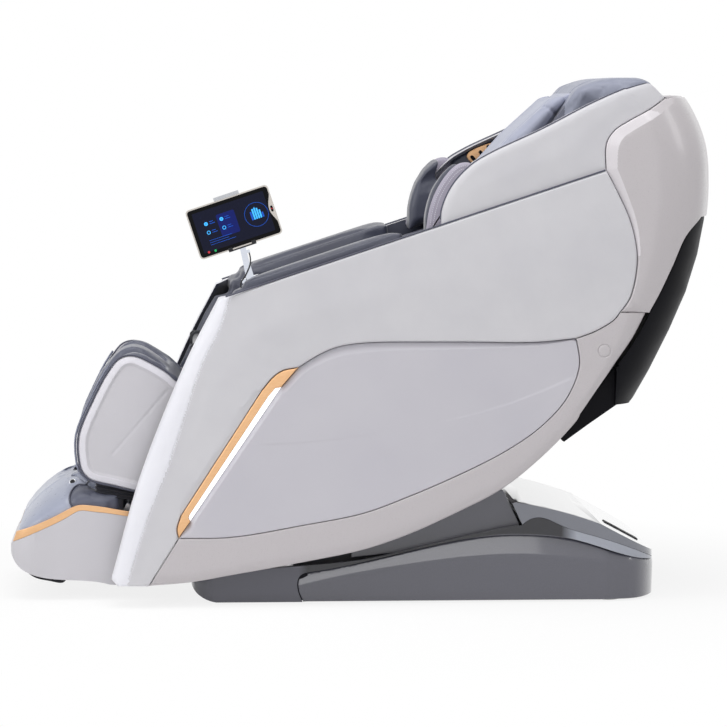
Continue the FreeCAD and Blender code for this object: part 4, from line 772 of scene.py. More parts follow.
def makeInserts():
    outline = panelOutline([armLower, insertRear, stripEdge, [(-189, 491), (-151, 535)]])
    top = np.array(smoothLine([(-189, 491), (-151, 535)] + armLower[1:], 7))
    side = np.array(smoothLine(stripEdge, 7))
    crease = np.array(smoothLine(insertPanel["crease"], 6))
    start = insertPanel["crease"][0][0]

    def lift(flat, d):
        x = flat[:, 0]
        topWidth = np.interp(x, *insertPanel["topWidth"])
        sideShare = distanceTo(flat, side) / insertPanel["sideWidth"]
        rim = np.minimum(distanceTo(flat, top) / topWidth, sideShare)
        height = 1.5 - insertPanel["inset"] + rolled(d, 2.2, 1.6)
        height -= insertPanel["rim"] * (1 - np.clip(rim, 0, 1))
        above = flat[:, 1] - np.interp(x, crease[:, 0], crease[:, 1])
        turned = np.interp(x, *insertPanel["turn"]) * 0.5 * np.tanh(above / 1.6)
        return height + np.where(x > start, turned * np.exp(-np.abs(above) / 120), 0)

    extra = [q + np.array([0, dz]) for q in crease for dz in (-5, -2.4, -0.8, 0.8, 2.4, 5)]
    for share in (0.7, 0.97, 1.03, 1.3):
        extra += rimPoints(top, lambda q: np.interp(q[0], *insertPanel["topWidth"]), [share])
        extra += list(side + np.array(insertPanel["sideWay"]) * insertPanel["sideWidth"] * share)
    wall = even(insertPanel["inset"] + insertPanel["wall"])
    piece = skinPiece("side_insert_left", outline, "insertSatin", lift, wall, 9.0, edgeSteps=(0.3, 0.9, 2.2),
                      extra=extra)
    onBothSides(piece, "side_insert", "capsule", "insert_satin", "side_insert")


def makeTrims():
    stripHead = [[(-189, 491), (-203, 489)], [(-203, 489), (-219, 470)], stripInner]
    trimOutline = panelOutline([trimFoot, [(-412, 207), (-232, 485)], trimHead, [(-151, 535), (-189, 491)],
                                *stripHead, [(-392, 210), (-395, 202), (-391, 193)],
                                [(-391, 193), (-417, 156)]], 4)
    stripOutline = panelOutline([stripEdge, *stripHead, [(-392, 210), (-395, 202), (-391, 194)]], 4, 0.5)

    def trimLift(flat, d):
        return -2.6 + rolled(d, 3.0, 2.2)

    def stripLift(flat, d):
        return -5.0 + rolled(d, 2.5, 1.5)

    for name, outline, finish, slot, lift in (
            ("side_trims", trimOutline, "champagne", "champagne_trim", trimLift),
            ("light_strips", stripOutline, "lightStrip", "light_strip", stripLift)):
        left = skinPiece(name, outline, finish, lift, even(12), 5.0, edgeSteps=(0.4, 1.1, 2.2))
        place(bothAsOne(left, name), "capsule", slot, name)


lowerShell = {
    "inset": 3.0, "wall": 22, "bottomWall": 42, "roll": 24, "rollDepth": 12,
    "capPlace": (527, 569), "capRadius": 14,
    "capRings": [(5, -397.6), (10, -397.4), (12.6, -396.9), (13.4, -396.0), (13.4, -391.0)],  # radius and y
}


def makeLowerShells():
    outline = panelOutline([shellBottom, shellTail, [(629, 652), (562, 655)], armHeel[::-1], insertRear,
                            [(-417, 156), (-484, 49)]])
    bottom = smoothLine(shellBottom + shellTail[1:], 8)
    cap = np.array(lowerShell["capPlace"])

    def lift(flat, d):
        fromCap = np.abs(np.linalg.norm(flat - cap, axis=1) - lowerShell["capRadius"])
        height = -lowerShell["inset"] + rolled(d, 2.6, 2.0)
        height += rolled(distanceTo(flat, bottom), lowerShell["roll"], lowerShell["rollDepth"])
        return height - 1.6 * groove(fromCap, 0.9)

    def wall(flat, d):
        return lowerShell["wall"] + lowerShell["bottomWall"] * groove(distanceTo(flat, bottom), 12)

    ways = [np.array([math.cos(a), math.sin(a)]) for a in np.linspace(0, 2 * math.pi, 40, endpoint=False)]
    extra = [cap + r * way for way in ways for r in (11.5, 12.8, 14, 15.2, 16.5)]
    extra += joinedBand(bottom, (2, 5, 9, 14, 20))
    piece = skinPiece("lower_shell_left", outline, "pearlShell", lift, wall, 9.0, extra=extra)
    onBothSides(piece, "lower_shell", "capsule", "pearl_shell", "lower_shell")
    makeCaps(cap)


def makeCaps(cap):  # a shallow round button, closed by a fan at each end
    rings = lowerShell["capRings"]
    sides = 36
    angles = [2 * math.pi * i / sides for i in range(sides)]
    points = [(cap[0] + r * math.cos(a), y, cap[1] + r * math.sin(a)) for r, y in rings for a in angles]
    faces = []
    points += [(cap[0], rings[0][1], cap[1]), (cap[0], rings[-1][1], cap[1])]
    middle = len(points) - 2
    last = (len(rings) - 1) * sides
    for i in range(sides):
        j = (i + 1) % sides
        faces.append((middle, i, j))
        for k in range(len(rings) - 1):
            faces.append((k * sides + i, (k + 1) * sides + i, (k + 1) * sides + j, k * sides + j))
        faces.append((middle + 1, last + j, last + i))
    left = newPiece("shell_caps", np.array(points) * mm, faces, "pearlShell")
    place(bothAsOne(left, "shell_caps"), "capsule", "pearl_shell", "shell_caps")


wingPanel = {"inset": 12.0, "roll": 16, "rollDepth": 11, "wall": 12, "rimWall": 74, "lining": -380}


def makeWings():
    rim = [unrolled(q) for q in smoothLine(wingRim, 10)]
    tail = [unrolled(q) for q in smoothLine([(635, 1170), (672, 1134)], 8)]
    back = [unrolled(q) for q in smoothLine(rearFront[::-1], 8)]
    outline = panelOutline([rim, tail, back, [(530, 968), armRim(166, 0)], [armRim(166, 0), (164, 860)]])
    upper = np.array(rim)

    def lift(flat, d):
        height = -wingPanel["inset"] + rolled(d, 3, 2.4) + 3 * ease((d - 3) / 90)
        return height + rolled(distanceTo(flat, upper), wingPanel["roll"], wingPanel["rollDepth"])

    def wall(flat, d):
        thick = wingPanel["inset"] + wingPanel["wall"]
        return thick + wingPanel["rimWall"] * groove(distanceTo(flat, upper), 9)

    band = joinedBand(upper[::-1], (2, 4.5, 8, 12, 17))
    piece = skinPiece("wing_left", outline, "shellLeather", lift, wall, 9.0, extra=band)
    lineInside(piece, "darkLeather", wingPanel["lining"])
    onBothSides(piece, "wing", "capsule", "shell_leather", "wing")


rearPanel = {
    "inset": 0.8, "wall": 16, "headWall": 40, "step": 9.5, "start": (670, 1132), "head": 1136, "foot": 861,
    "rim": ([655, 720, 800, 900, 990, 1030, 1070, 1132], [3, 4, 8, 16, 25, 27, 22, 19]),  # heights, widths
    "lid": {"level": 1130.0, "top": 1134.0, "inside": 9.0},
}


def thinned(outline, least):
    kept = [outline[0]]
    for q in outline[1:]:
        if np.linalg.norm(q - kept[-1]) > least:
            kept.append(q)
    if np.linalg.norm(kept[0] - kept[-1]) < least:
        kept.pop()
    return np.array(kept)


def makeRearShell():
    edge = [unrolled(q) for q in smoothLine(armRear, 8) + smoothLine(rearFront, 8)[1:]]
    start, level = unrolled(rearPanel["start"])
    middle = middleAt(rearPanel["head"])
    head = [(start + (middle - start) * k / 50, level + 4 * k / 50) for k in range(1, 51)]
    lower = [unrolled(q) for q in smoothLine(coverEdge, 8)]
    middle = middleAt(rearPanel["foot"])
    under = [(middle + (lower[0][0] - middle) * k / 40, rearPanel["foot"] + k / 40) for k in range(40)]
    half = edge + head
    low = under + lower
    outline = np.array(half + roundTheBack(half)[1:] + roundTheBack(low[1:]) + low)
    outline = drawnBack(thinned(outline, 2.0), gap / 2)
    other = np.array(roundTheBack(edge))
    edge = np.array(edge)

    def lift(flat, d):
        height = -rearPanel["inset"] + rolled(d, 2.4, 1.8)
        near = np.minimum(distanceTo(flat, edge), distanceTo(flat, other))
        width = np.interp(flat[:, 1], *rearPanel["rim"])
        height -= rearPanel["step"] * (1 - np.clip(near / width, 0, 1)) * np.clip(width / 16, 0.2, 1)
        return height + rolled(rearPanel["head"] + 1 - flat[:, 1], 14, 7)

    def wall(flat, d):
        return rearPanel["wall"] + rearPanel["headWall"] * groove(rearPanel["head"] - flat[:, 1], 5)

    # the chamfer band of the rear shell, where the lighter finish paints a highlight
    def inHighlightRim(centres):
        flat = np.array([unrolled((x, z)) for x, y, z in centres])
        width = np.interp(flat[:, 1], *rearPanel["rim"])
        outside = (np.abs(centres[:, 1]) > 386) & (flat[:, 1] > 780)
        return outside & (distanceTo(flat, edge) < width)

    rims = []
    for line in (edge, other):
        rims += rimPoints(line, lambda q: np.interp(q[1], *rearPanel["rim"]), (0.6, 0.96, 1.04, 1.4))
    piece = skinPiece("rear_shell", outline, "pearlShell", lift, wall, 10.0, extra=rims)
    recolour(piece, "pearlRim", inHighlightRim)
    place(joinPieces([piece, makeRearTop()], "rear_shell"), "capsule", "pearl_shell", "rear_shell")


def makeRearTop():  # the lid between the two wings
    lid = rearPanel["lid"]
    s = np.linspace(float(unrolled((672, 1133))[0]), middleAt(lid["level"]), 40)
    s = np.concatenate([s, 2 * s[-1] - s[-2::-1]])
    levels = np.full(len(s), lid["level"])
    inner = (onShell(s, levels) - shellNormal(s, levels) * lid["inside"])[:, :2]
    closing = [inner[-1] + (inner[0] - inner[-1]) * k / 50 for k in range(1, 50)]
    surface, normal = flatFace(2, lid["top"], (0, 0, 1))

    def lift(flat, d):
        return rolled(d, 10, 4) + 1.5 * ease(d / 60)
    return skinPiece("rear_top", thinned(np.vstack([inner, closing]), 2.0), "pearlShell", lift, even(8), 12.0,
                     surface=surface, normalOf=normal)


makeArmPanels()
makeInserts()
makeTrims()
makeLowerShells()
makeWings()
makeRearShell()
print("side panels ready")


# Lines that run over a surface: piping, cords and stitches, made by Geometry Nodes

def newTree(name, numbers):
    tree = bpy.data.node_groups.new(name, "GeometryNodeTree")
    tree.interface.new_socket("Line", in_out="INPUT", socket_type="NodeSocketGeometry")
    for label in numbers:
        tree.interface.new_socket(label, in_out="INPUT", socket_type="NodeSocketFloat")
    tree.interface.new_socket("Finish", in_out="INPUT", socket_type="NodeSocketMaterial")
    tree.interface.new_socket("Result", in_out="OUTPUT", socket_type="NodeSocketGeometry")
    wiring = Wiring(tree)
    return tree, wiring, wiring.add("NodeGroupInput").outputs


def closeTree(wiring, geometryOut, inputs):
    single = wiring.add("GeometryNodeRealizeInstances", {"Geometry": geometryOut}).outputs[0]
    finished = wiring.add("GeometryNodeSetMaterial", {"Geometry": single, "Material": inputs["Finish"]})
    smooth = wiring.add("GeometryNodeSetShadeSmooth", {"Geometry": finished.outputs[0]}).outputs[0]
    wiring.add("NodeGroupOutput", {"Result": smooth})


def stitchTree():  # short threads laid end to end along a line
    tree, wiring, inputs = newTree("stitches", ("Pitch", "Thread Length", "Thread Radius"))
    curve = wiring.add("GeometryNodeMeshToCurve", {"Mesh": inputs["Line"]}).outputs[0]
    marks = wiring.add("GeometryNodeResampleCurve", {"Curve": curve, "Length": inputs["Pitch"]},
                       mode="LENGTH")
    tangent = wiring.add("GeometryNodeInputTangent").outputs[0]
    turn = wiring.add("FunctionNodeAlignRotationToVector", {"Vector": tangent}, axis="Z").outputs[0]
    half = wiring.add("ShaderNodeMath", {0: inputs["Thread Length"], 1: 0.5}, operation="MULTIPLY")
    size = wiring.add("ShaderNodeCombineXYZ", {"X": inputs["Thread Radius"], "Y": inputs["Thread Radius"],
                                               "Z": half.outputs[0]}).outputs[0]
    thread = wiring.add("GeometryNodeMeshUVSphere", {"Segments": 8, "Rings": 5, "Radius": 1.0}).outputs[0]
    laid = wiring.add("GeometryNodeInstanceOnPoints", {"Points": marks.outputs[0], "Instance": thread,
                                                       "Rotation": turn, "Scale": size}).outputs[0]
    closeTree(wiring, laid, inputs)
    return tree


def pipingTree():  # a round welt, or a twisted cord where Lobe is above zero
    tree, wiring, inputs = newTree("piping", ("Radius", "Lobe", "Turns"))
    curve = wiring.add("GeometryNodeMeshToCurve", {"Mesh": inputs["Line"]}).outputs[0]
    fine = wiring.add("GeometryNodeResampleCurve", {"Curve": curve, "Length": 0.0035}, mode="LENGTH")
    along = wiring.add("GeometryNodeSplineParameter").outputs["Length"]
    twist = wiring.add("ShaderNodeMath", {0: along, 1: inputs["Turns"]}, operation="MULTIPLY").outputs[0]
    tilted = wiring.add("GeometryNodeSetCurveTilt", {"Curve": fine.outputs[0], "Tilt": twist}).outputs[0]
    inner = wiring.add("ShaderNodeMath", {0: inputs["Radius"], 1: inputs["Lobe"]}, operation="SUBTRACT")
    ring = wiring.add("GeometryNodeCurveStar", {"Points": 5, "Inner Radius": inner.outputs[0],
                                                "Outer Radius": inputs["Radius"]}).outputs[0]
    tube = wiring.add("GeometryNodeCurveToMesh", {"Curve": tilted, "Profile Curve": ring,
                                                  "Fill Caps": True}).outputs[0]
    closeTree(wiring, tube, inputs)
    return tree


trees = {"stitches": stitchTree(), "piping": pipingTree()}


def solidLine(name, lines, tree, finish, turns=0.0, **lengths):  # lines of points in mm, as one plain mesh
    mesh = bpy.data.meshes.new(name)
    points = []
    edges = []
    for line in lines:
        edges += [(len(points) + i, len(points) + i + 1) for i in range(len(line) - 1)]
        points += [tuple(np.array(q) * mm) for q in line]
    mesh.from_pydata(points, edges, [])
    piece = addObject(name, mesh)
    modifier = piece.modifiers.new("along", "NODES")
    modifier.node_group = trees[tree]
    values = {label: length * mm for label, length in lengths.items()}
    values["Turns"] = turns
    values["Finish"] = finishes[finish]
    for socket in trees[tree].interface.items_tree:
        label = socket.name.replace(" ", "")
        if socket.in_out == "INPUT" and label in values:
            modifier[socket.identifier] = values[label]
    bake(piece)
    piece.data.name = name
    return piece


def welt(name, line, radius, finish="piping"):
    return solidLine(name, [line], "piping", finish, Radius=radius, Lobe=0.0)


def castOn(surface, points, way, above):  # each point dropped on the surface along the way, then lifted
    found = []
    for point in points:
        spot, normal = surface.ray_cast(Vector([c * mm for c in point]), Vector(way))[:2]
        if spot is not None:
            found.append(np.array(spot) / mm + np.array(normal) * above)
    return found


def beside(line, offset):  # a line of the side view moved sideways
    line = np.array(line)
    wide = np.gradient(line, axis=0)
    across = np.stack([-wide[:, 1], wide[:, 0]], axis=1) / np.linalg.norm(wide, axis=1)[:, None]
    return line + across * offset


def fromSide(surface, line, above, start=-430):
    return castOn(surface, [(x, start, z) for x, z in line], (0, 1, 0), above)


def makeArmStitches():
    surface = surfaceOf(bpy.data.objects["arm_panel_left"].data)
    lines = [fromSide(surface, beside(smoothLine(stitchLine, 5), off), 0.1) for off in (-3.4, 3.4)]
    left = solidLine("arm_stitches_left", lines, "stitches", "thread", Pitch=5.0, ThreadLength=3.6,
                     ThreadRadius=0.55)
    onBothSides(left, "arm_stitches", "capsule", "shell_leather")


def makeArmPiping():
    rim = smoothLine([(-312, 691.5), (527, 969)], 12)
    left = welt("arm_piping_left", [(x, -395.5, z) for x, z in rim], 2.0)
    onBothSides(left, "arm_piping", "capsule", "blue_grey_leather")


def makeWingPiping():
    flat = np.array([unrolled(q) for q in smoothLine(wingRim, 10)])
    path = onShell(flat[:, 0], flat[:, 1]) - shellNormal(flat[:, 0], flat[:, 1]) * 25
    onBothSides(welt("wing_piping_left", path, 2.6), "wing_piping", "capsule", "blue_grey_leather")


makeArmStitches()
makeArmPiping()
makeWingPiping()
print("stitches ready")


# Cushions and pads: the modelled solid, softened, filled out by a cloth simulation and sewn

# In mm: the voxel of its grid, how far it is shrunk first, and how far the filling may push it out (cap).
# Sides are the two long seams, channels the seams between them: the axis they lie across, and their levels.
cushions = {
    "seat_cushion": {"voxel": 7, "smooth": 14, "shrink": 6, "cap": 13, "fill": 0.8, "body": "capsule",
                     "finish": "seatLeather", "sides": 150, "channels": (0, (-40, -180))},
    "back_cushion": {"voxel": 7, "smooth": 12, "shrink": 6, "cap": 13, "fill": 0.8, "body": "capsule",
                     "finish": "seatLeather", "sides": 150, "channels": (2, (620, 760, 900, 1030)),
                     "flap": {"seam": 1118, "seamStart": 540, "above": 1078, "start": 455}},
    "arm_pad_left": {"voxel": 5, "smooth": 3, "shrink": 2.0, "cap": 5, "fill": 0.7, "body": "capsule",
                     "finish": "darkLeather"},
    "shoulder_pad_left": {"voxel": 5, "smooth": 8, "shrink": 4, "cap": 9, "fill": 0.8, "body": "capsule",
                          "finish": "darkLeather"},
    "head_pillow": {"voxel": 6, "smooth": 10, "shrink": 5, "cap": 11, "fill": 0.8, "body": "pillow",
                    "finish": "pillowLeather", "slot": "pillow_leather"},
    "calf_cushion": {"voxel": 6, "smooth": 12, "shrink": 4, "cap": 9, "fill": 0.7, "body": "legrest",
                     "finish": "seatLeather"},
    "foot_cushion": {"voxel": 6, "smooth": 8, "shrink": 1, "cap": 5, "fill": 0.7, "body": "footrest",
                     "finish": "footLeather"},
}
cloth = {"pressure": 4.0, "quality": 4, "frames": 20, "standOut": 2.0}  # standOut is past the solid, in mm
unsewn = 99.0  # added to the distance of points that a seam doesn't reach


def inflate(piece, cap):
    before = coordinates(piece.data)
    filling = piece.modifiers.new("filling", "CLOTH")
    filling.settings.use_pressure = True
    filling.settings.uniform_pressure_force = cloth["pressure"]
    filling.settings.effector_weights.gravity = 0
    filling.settings.quality = cloth["quality"]
    filling.point_cache.frame_start = 1
    filling.point_cache.frame_end = cloth["frames"]
    for number in range(1, cloth["frames"] + 1):
        bpy.context.scene.frame_set(number)
    evaluated = piece.evaluated_get(bpy.context.evaluated_depsgraph_get())
    after = coordinates(evaluated.data)
    piece.modifiers.clear()
    bpy.context.scene.frame_set(1)
    move = after - before
    length = np.linalg.norm(move, axis=1)
    move *= np.minimum(1, cap * mm / np.maximum(length, 1e-9))[:, None]
    setCoordinates(piece.data, before + move)


def softened(node):
    cushion = cushions[node]
    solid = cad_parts[node]
    mesh = solid.data.copy()
    mesh.transform(solid.matrix_world)
    mesh.materials.clear()
    loose = bmesh.new()
    loose.from_mesh(mesh)
    bmesh.ops.remove_doubles(loose, verts=loose.verts, dist=1e-6)
    loose.to_mesh(mesh)
    loose.free()
    surface = surfaceOf(mesh)
    piece = addObject(node + "_soft", mesh)
    grid = piece.modifiers.new("grid", "REMESH")
    grid.mode = "VOXEL"
    grid.voxel_size = cushion["voxel"] * mm
    soft = piece.modifiers.new("soft", "SMOOTH")
    soft.factor = 0.5
    soft.iterations = cushion["smooth"]
    bake(piece)
    setCoordinates(piece.data, coordinates(piece.data) - normals(piece.data) * cushion["shrink"] * mm)
    inflate(piece, cushion["cap"])
    keepNear(piece.data, surface, cloth["standOut"])
    finer = piece.modifiers.new("finer", "SUBSURF")
    finer.levels = 1
    finer.render_levels = 1
    bake(piece)
    piece.data.shade_smooth()
    piece.data.materials.clear()
    piece.data.materials.append(finishes[cushion["finish"]])
    return piece


def keepNear(mesh, surface, allowed):  # no point further outside the modelled solid than allowed
    points = coordinates(mesh)
    for i, point in enumerate(points):
        spot, normal = surface.find_nearest(Vector(point))[:2]
        out = (Vector(point) - spot).dot(normal)
        if out > allowed * mm:
            points[i] -= np.array(normal) * (out - allowed * mm)
    setCoordinates(mesh, points)


def sew(piece, distance, depth, width):  # draws the surface in along a seam, by each point's distance to it
    points = coordinates(piece.data)
    amount = depth * groove(distance(points / mm), width)
    setCoordinates(piece.data, points - normals(piece.data) * amount[:, None] * mm)


def sewSides(piece, half, depth=5, width=5):
    sew(piece, lambda p: np.abs(np.abs(p[:, 1]) - half), depth, width)


def sewChannels(piece, half, axis, levels):
    for level in levels:
        sew(piece, lambda p: np.abs(p[:, axis] - level) + unsewn * (np.abs(p[:, 1]) > half + 2), 4, 5)


def sewFlanks(piece, line, depth, width):  # a seam of the side view, on the two flanks only
    sew(piece, lambda p: distanceTo(p[:, [0, 2]], line) + unsewn * (np.abs(p[:, 1]) < 150), depth, width)


def declare(piece, node, *nodes):
    cushion = cushions[node]
    place(piece, cushion["body"], cushion.get("slot", "blue_grey_leather"), *nodes)


def makeCushion(node, *changes):  # softened, then changed, then named after the node, attached to its body, with the node hidden
    piece = softened(node)
    if "sides" in cushions[node]:
        sewSides(piece, cushions[node]["sides"])
        sewChannels(piece, cushions[node]["sides"], *cushions[node]["channels"])
    for change in changes:
        change(piece)
    piece.name = node + "_leather"
    declare(piece, node, node)
    return piece


def foldFlap(piece):  # the flap over the head end: its seam and its lighter leather
    flap = cushions["back_cushion"]["flap"]
    sew(piece, lambda p: np.abs(p[:, 2] - flap["seam"]) + unsewn * (p[:, 0] < flap["seamStart"]), 6, 8)
    recolour(piece, "flapLeather", lambda c: (c[:, 2] > flap["above"]) & (c[:, 0] > flap["start"]))


def makePadPair(label, *changes):
    piece = softened(label + "_left")
    for change in changes:
        change(piece)
    twin = mirrorOf(piece, label + "_right_leather")
    piece.name = label + "_left_leather"
    declare(piece, label + "_left", label + "_left")
    declare(twin, label + "_left", label + "_right")


def stacked(rings):  # points and faces of a closed body through rings of as many points each
    count = len(rings[0])
    faces = []
    for k in range(len(rings) - 1):
        for i in range(count):
            j = (i + 1) % count
            faces.append((k * count + i, k * count + j, (k + 1) * count + j, (k + 1) * count + i))
    faces.append(tuple(range(count))[::-1])
    faces.append(tuple(range((len(rings) - 1) * count, len(rings) * count)))
    return [q for ring in rings for q in ring], faces


def sweptPad(name, loop, near, far, radius, finish):  # an outline of the side view carried across
    loop = np.array(smoothLine(loop, 4, closed=True))
    rows = 7
    stations = []
    for k in range(rows + 1):
        turn = math.pi / 2 * k / rows
        stations.append((near + radius * (1 - math.cos(turn)), radius * (1 - math.sin(turn))))
    stations += [(far - (y - near), inset) for y, inset in stations[::-1]]
    points, faces = stacked([[(x, y, z) for x, z in drawnBack(loop, inset)] for y, inset in stations])
    piece = newPiece(name, np.array(points) * mm, faces, finish, 60)
    turnOutwards(piece.data, largest=4)
    return piece


def padOnBothSides(left, label):
    for side in onBothSides(left, label, "capsule", "blue_grey_leather"):
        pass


shoulderLining = {
    "outline": [(133, 822), (135, 850), (139, 876), (150, 912), (170, 948), (191, 973), (208, 984),
                (229, 985), (240, 976), (232, 950), (222, 925), (214, 890), (212, 850)],
    "reach": (-364.0, -345.0, 9.0),  # from y, to y, and how far its ends round over
}


def makeShoulderLinings():
    left = sweptPad("shoulder_lining_left", shoulderLining["outline"], *shoulderLining["reach"],
                    "lilacLeather")
    surface = surfaceOf(left.data)
    edge = smoothLine(shoulderLining["outline"][1:8], 4)
    lines = [fromSide(surface, beside(edge, -off), 0.1, -400) for off in (7, 14)]
    stitches = solidLine("shoulder_stitches_left", lines, "stitches", "thread", Pitch=4.6, ThreadLength=3.4,
                         ThreadRadius=0.6)
    padOnBothSides(left, "shoulder_lining")
    onBothSides(stitches, "shoulder_stitches", "capsule", "blue_grey_leather")


wingLayers = [  # an outline of the side view, from y, to y, and how far the ends round over
    ([(240, 972), (273, 996), (385, 1047), (504, 1108), (560, 1130), (585, 1118), (580, 1060), (540, 1000),
      (400, 930), (252, 900)], -373.0, -345.0, 9.0),
    ([(236, 935), (273, 957), (385, 1010), (504, 1070), (560, 1096), (585, 1080), (580, 1040), (540, 980),
      (400, 910), (248, 870)], -362.0, -300.5, 9.0),
]


def makeWingLinings():
    layers = [sweptPad("wing_lining_left", *layer, "seatLeather") for layer in wingLayers]
    padOnBothSides(joinPieces(layers, "wing_lining_left"), "wing_lining")


speaker = {
    "outline": [(277, 987), (280, 996), (289, 1003), (345, 1022), (356, 1012), (324, 972), (306, 964),
                (290, 972)],
    "plate": (-345.5, -341.0, 1.2),
    "slots": [(293, 983), (313, 995), (332, 1008)],
    "slotWay": (0.62, -0.78), "slotHalf": 9.0, "slotWidth": 4.2,
    "slot": (-344.0, -340.4, 0.3),
}


def makeSpeakers():
    way = np.array(speaker["slotWay"])
    across = np.array([-way[1], way[0]])
    parts = [sweptPad("speaker_plate", speaker["outline"], *speaker["plate"], "champagne")]
    # the slots are dark pads in the seamShade finish: painted shade in the grille's openings
    for centre in speaker["slots"]:
        loop = []
        for turn in range(0, 360, 20):
            a = math.radians(turn)
            end = way * (speaker["slotHalf"] - speaker["slotWidth"]) * (1 if math.cos(a) >= 0 else -1)
            out = speaker["slotWidth"] * (way * math.cos(a) + across * math.sin(a))
            loop.append(tuple(np.array(centre) + end + out))
        parts.append(sweptPad("speaker_slot", loop, *speaker["slot"], "seamShade"))
    left = joinPieces(parts, "speaker_left")
    place(bothAsOne(left, "speaker_plates"), "capsule", "champagne_trim", "speaker_trims")


shoulderShape = {  # how far its front edge is drawn back and its top lowered, and where that fades, in m
    "back": 0.032, "backFrom": 0.33, "backRun": 0.233,
    "down": 0.034, "downFrom": 0.20, "downRun": 0.06, "downAbove": 0.86, "downRise": 0.12,
}


def shapeShoulderPad(piece):
    points = coordinates(piece.data)
    drawn = np.clip((shoulderShape["backFrom"] - points[:, 0]) / shoulderShape["backRun"], 0, 1)
    points[:, 0] += shoulderShape["back"] * drawn
    inner = ease((points[:, 0] - shoulderShape["downFrom"]) / shoulderShape["downRun"])
    upper = np.clip((points[:, 2] - shoulderShape["downAbove"]) / shoulderShape["downRise"], 0, 1)
    points[:, 2] -= shoulderShape["down"] * inner * upper
    setCoordinates(piece.data, points)


pillowShape = {
    "long": [(262, 968), (320, 1030), (400, 1108), (430, 1132)],
    "cross": [(380, 1122), (410, 1112), (440, 1092), (462, 1070)],
    "face": (0.463, 1.105), "away": (-0.70, 0.714), "flatter": 0.34,  # its outer half is pressed flatter
    "fold": [(452, 1124), (474, 1139), (498, 1136), (516, 1124), (508, 1110), (470, 1110)],
    "foldReach": (-165.0, 165.0, 4.5),
}


def shapePillow(piece):
    points = coordinates(piece.data)
    (x, z), (wayX, wayZ) = pillowShape["face"], pillowShape["away"]
    depth = np.clip((points[:, 0] - x) * wayX + (points[:, 2] - z) * wayZ, 0, None)
    points[:, 0] -= wayX * pillowShape["flatter"] * depth
    points[:, 2] -= wayZ * pillowShape["flatter"] * depth
    setCoordinates(piece.data, points)
    for line in (pillowShape["long"], pillowShape["cross"]):
        sewFlanks(piece, smoothLine(line, 6), 4, 4)
    sewSides(piece, 120, 3.5, 4.5)


def makePillowFold():  # the fabric fold that the pillow turns on
    piece = sweptPad("pillow_fold", pillowShape["fold"], *pillowShape["foldReach"], "pillowLeather")
    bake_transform(piece)


footShape = {
    "trimLine": [(-792, 140), (-744, 169), (-706, 185), (-669, 204), (-643, 215), (-621, 215), (-576, 209),
                 (-498, 197)],
    "ankleSeam": [(-655, 208), (-662, 222), (-661, 238), (-652, 250), (-640, 256), (-610, 252), (-560, 246)],
    "behindSeam": ([208, 222, 238, 250, 256, 258], [-655, -662, -661, -652, -640, -400]),  # z, and x there
    "domeLine": [(-788, 148), (-773, 177), (-750, 207), (-725, 232), (-700, 251), (-671, 271), (-642, 280),
                 (-560, 262), (-500, 250)],
    "crown": 0.88,  # how far the dome's sides lean in: at 1 its section is half an ellipse
    "crownStart": -0.595, "crownRun": 0.06,
    "eyelet": (-657, 259.5), "eyeletWay": (-0.25, -1, 0.6),
}


def shapeFoot(piece):
    points = coordinates(piece.data)
    line = np.array(footShape["trimLine"]) * mm
    dome = np.array(footShape["domeLine"]) * mm
    low = np.interp(points[:, 0], line[:, 0], line[:, 1])
    high = np.interp(points[:, 0], dome[:, 0], dome[:, 1])
    share = np.clip((points[:, 2] - low) / np.maximum(high - low, 0.008), 0, 1)
    toe = ease((footShape["crownStart"] - points[:, 0]) / footShape["crownRun"])
    points[:, 1] *= 1 - toe * (1 - np.sqrt(1 - (footShape["crown"] * share) ** 2))
    setCoordinates(piece.data, points)
    sewFlanks(piece, smoothLine(footShape["ankleSeam"], 5), 4.5, 4.5)
    smoothing = piece.modifiers.new("even", "SMOOTH")
    smoothing.iterations = 8
    bake(piece)
    recolour(piece, "seatLeather", lambda c: (np.abs(c[:, 1]) > 120)
             & (c[:, 0] > np.interp(c[:, 2], *footShape["behindSeam"])))


def makeFootWelts(foot):
    line = fromSide(surfaceOf(foot.data), smoothLine(footShape["ankleSeam"], 5), 0.3, -300)
    left = welt("foot_welt_left", line, 2.4, "darkLeather")
    onBothSides(left, "foot_welt", "footrest", "blue_grey_leather")


soleEdge = {
    "outline": [(-757, 63), (-741, 51), (-709, 43), (-678, 39), (-670, 49), (-709, 58), (-738, 64)],
    "reach": (-243.0, -198.0, 2.5),
}


def makeSoleEdges():
    left = sweptPad("foot_sole_edge_left", soleEdge["outline"], *soleEdge["reach"], "rubber")
    onBothSides(left, "foot_sole_edge", "footrest", "rubber")


def ringPiece(name, centre, axis, outer, section, finish, sides=32):  # a round ring with a round section
    axis = np.array(axis) / np.linalg.norm(axis)
    across = np.cross(axis, [0, 0, 1.0])
    across /= np.linalg.norm(across)
    up = np.cross(across, axis)
    points = []
    faces = []
    turns = 10
    for i in range(sides):
        a = 2 * math.pi * i / sides
        out = across * math.cos(a) + up * math.sin(a)
        for j in range(turns):
            b = 2 * math.pi * j / turns
            points.append(np.array(centre) + out * (outer - section + section * math.cos(b))
                          + axis * section * math.sin(b))
    for i in range(sides):
        for j in range(turns):
            k = (i + 1) % sides
            m = (j + 1) % turns
            faces.append((i * turns + j, k * turns + j, k * turns + m, i * turns + m))
    return newPiece(name, np.array(points) * mm, faces, finish)


def makeEyelets(foot):
    x, z = footShape["eyelet"]
    way = footShape["eyeletWay"]
    spot = castOn(surfaceOf(foot.data), [(x, -300, z)], (0, 1, 0), 0.6)[0]
    rings = [ringPiece("eyelet", spot, way, 8.5, 1.8, "zinc"),
             ringPiece("eyelet_hole", spot, way, 6.0, 3.0, "blackPlastic")]
    onBothSides(joinPieces(rings, "foot_eyelets_left"), "foot_eyelets", "footrest", "champagne_trim")


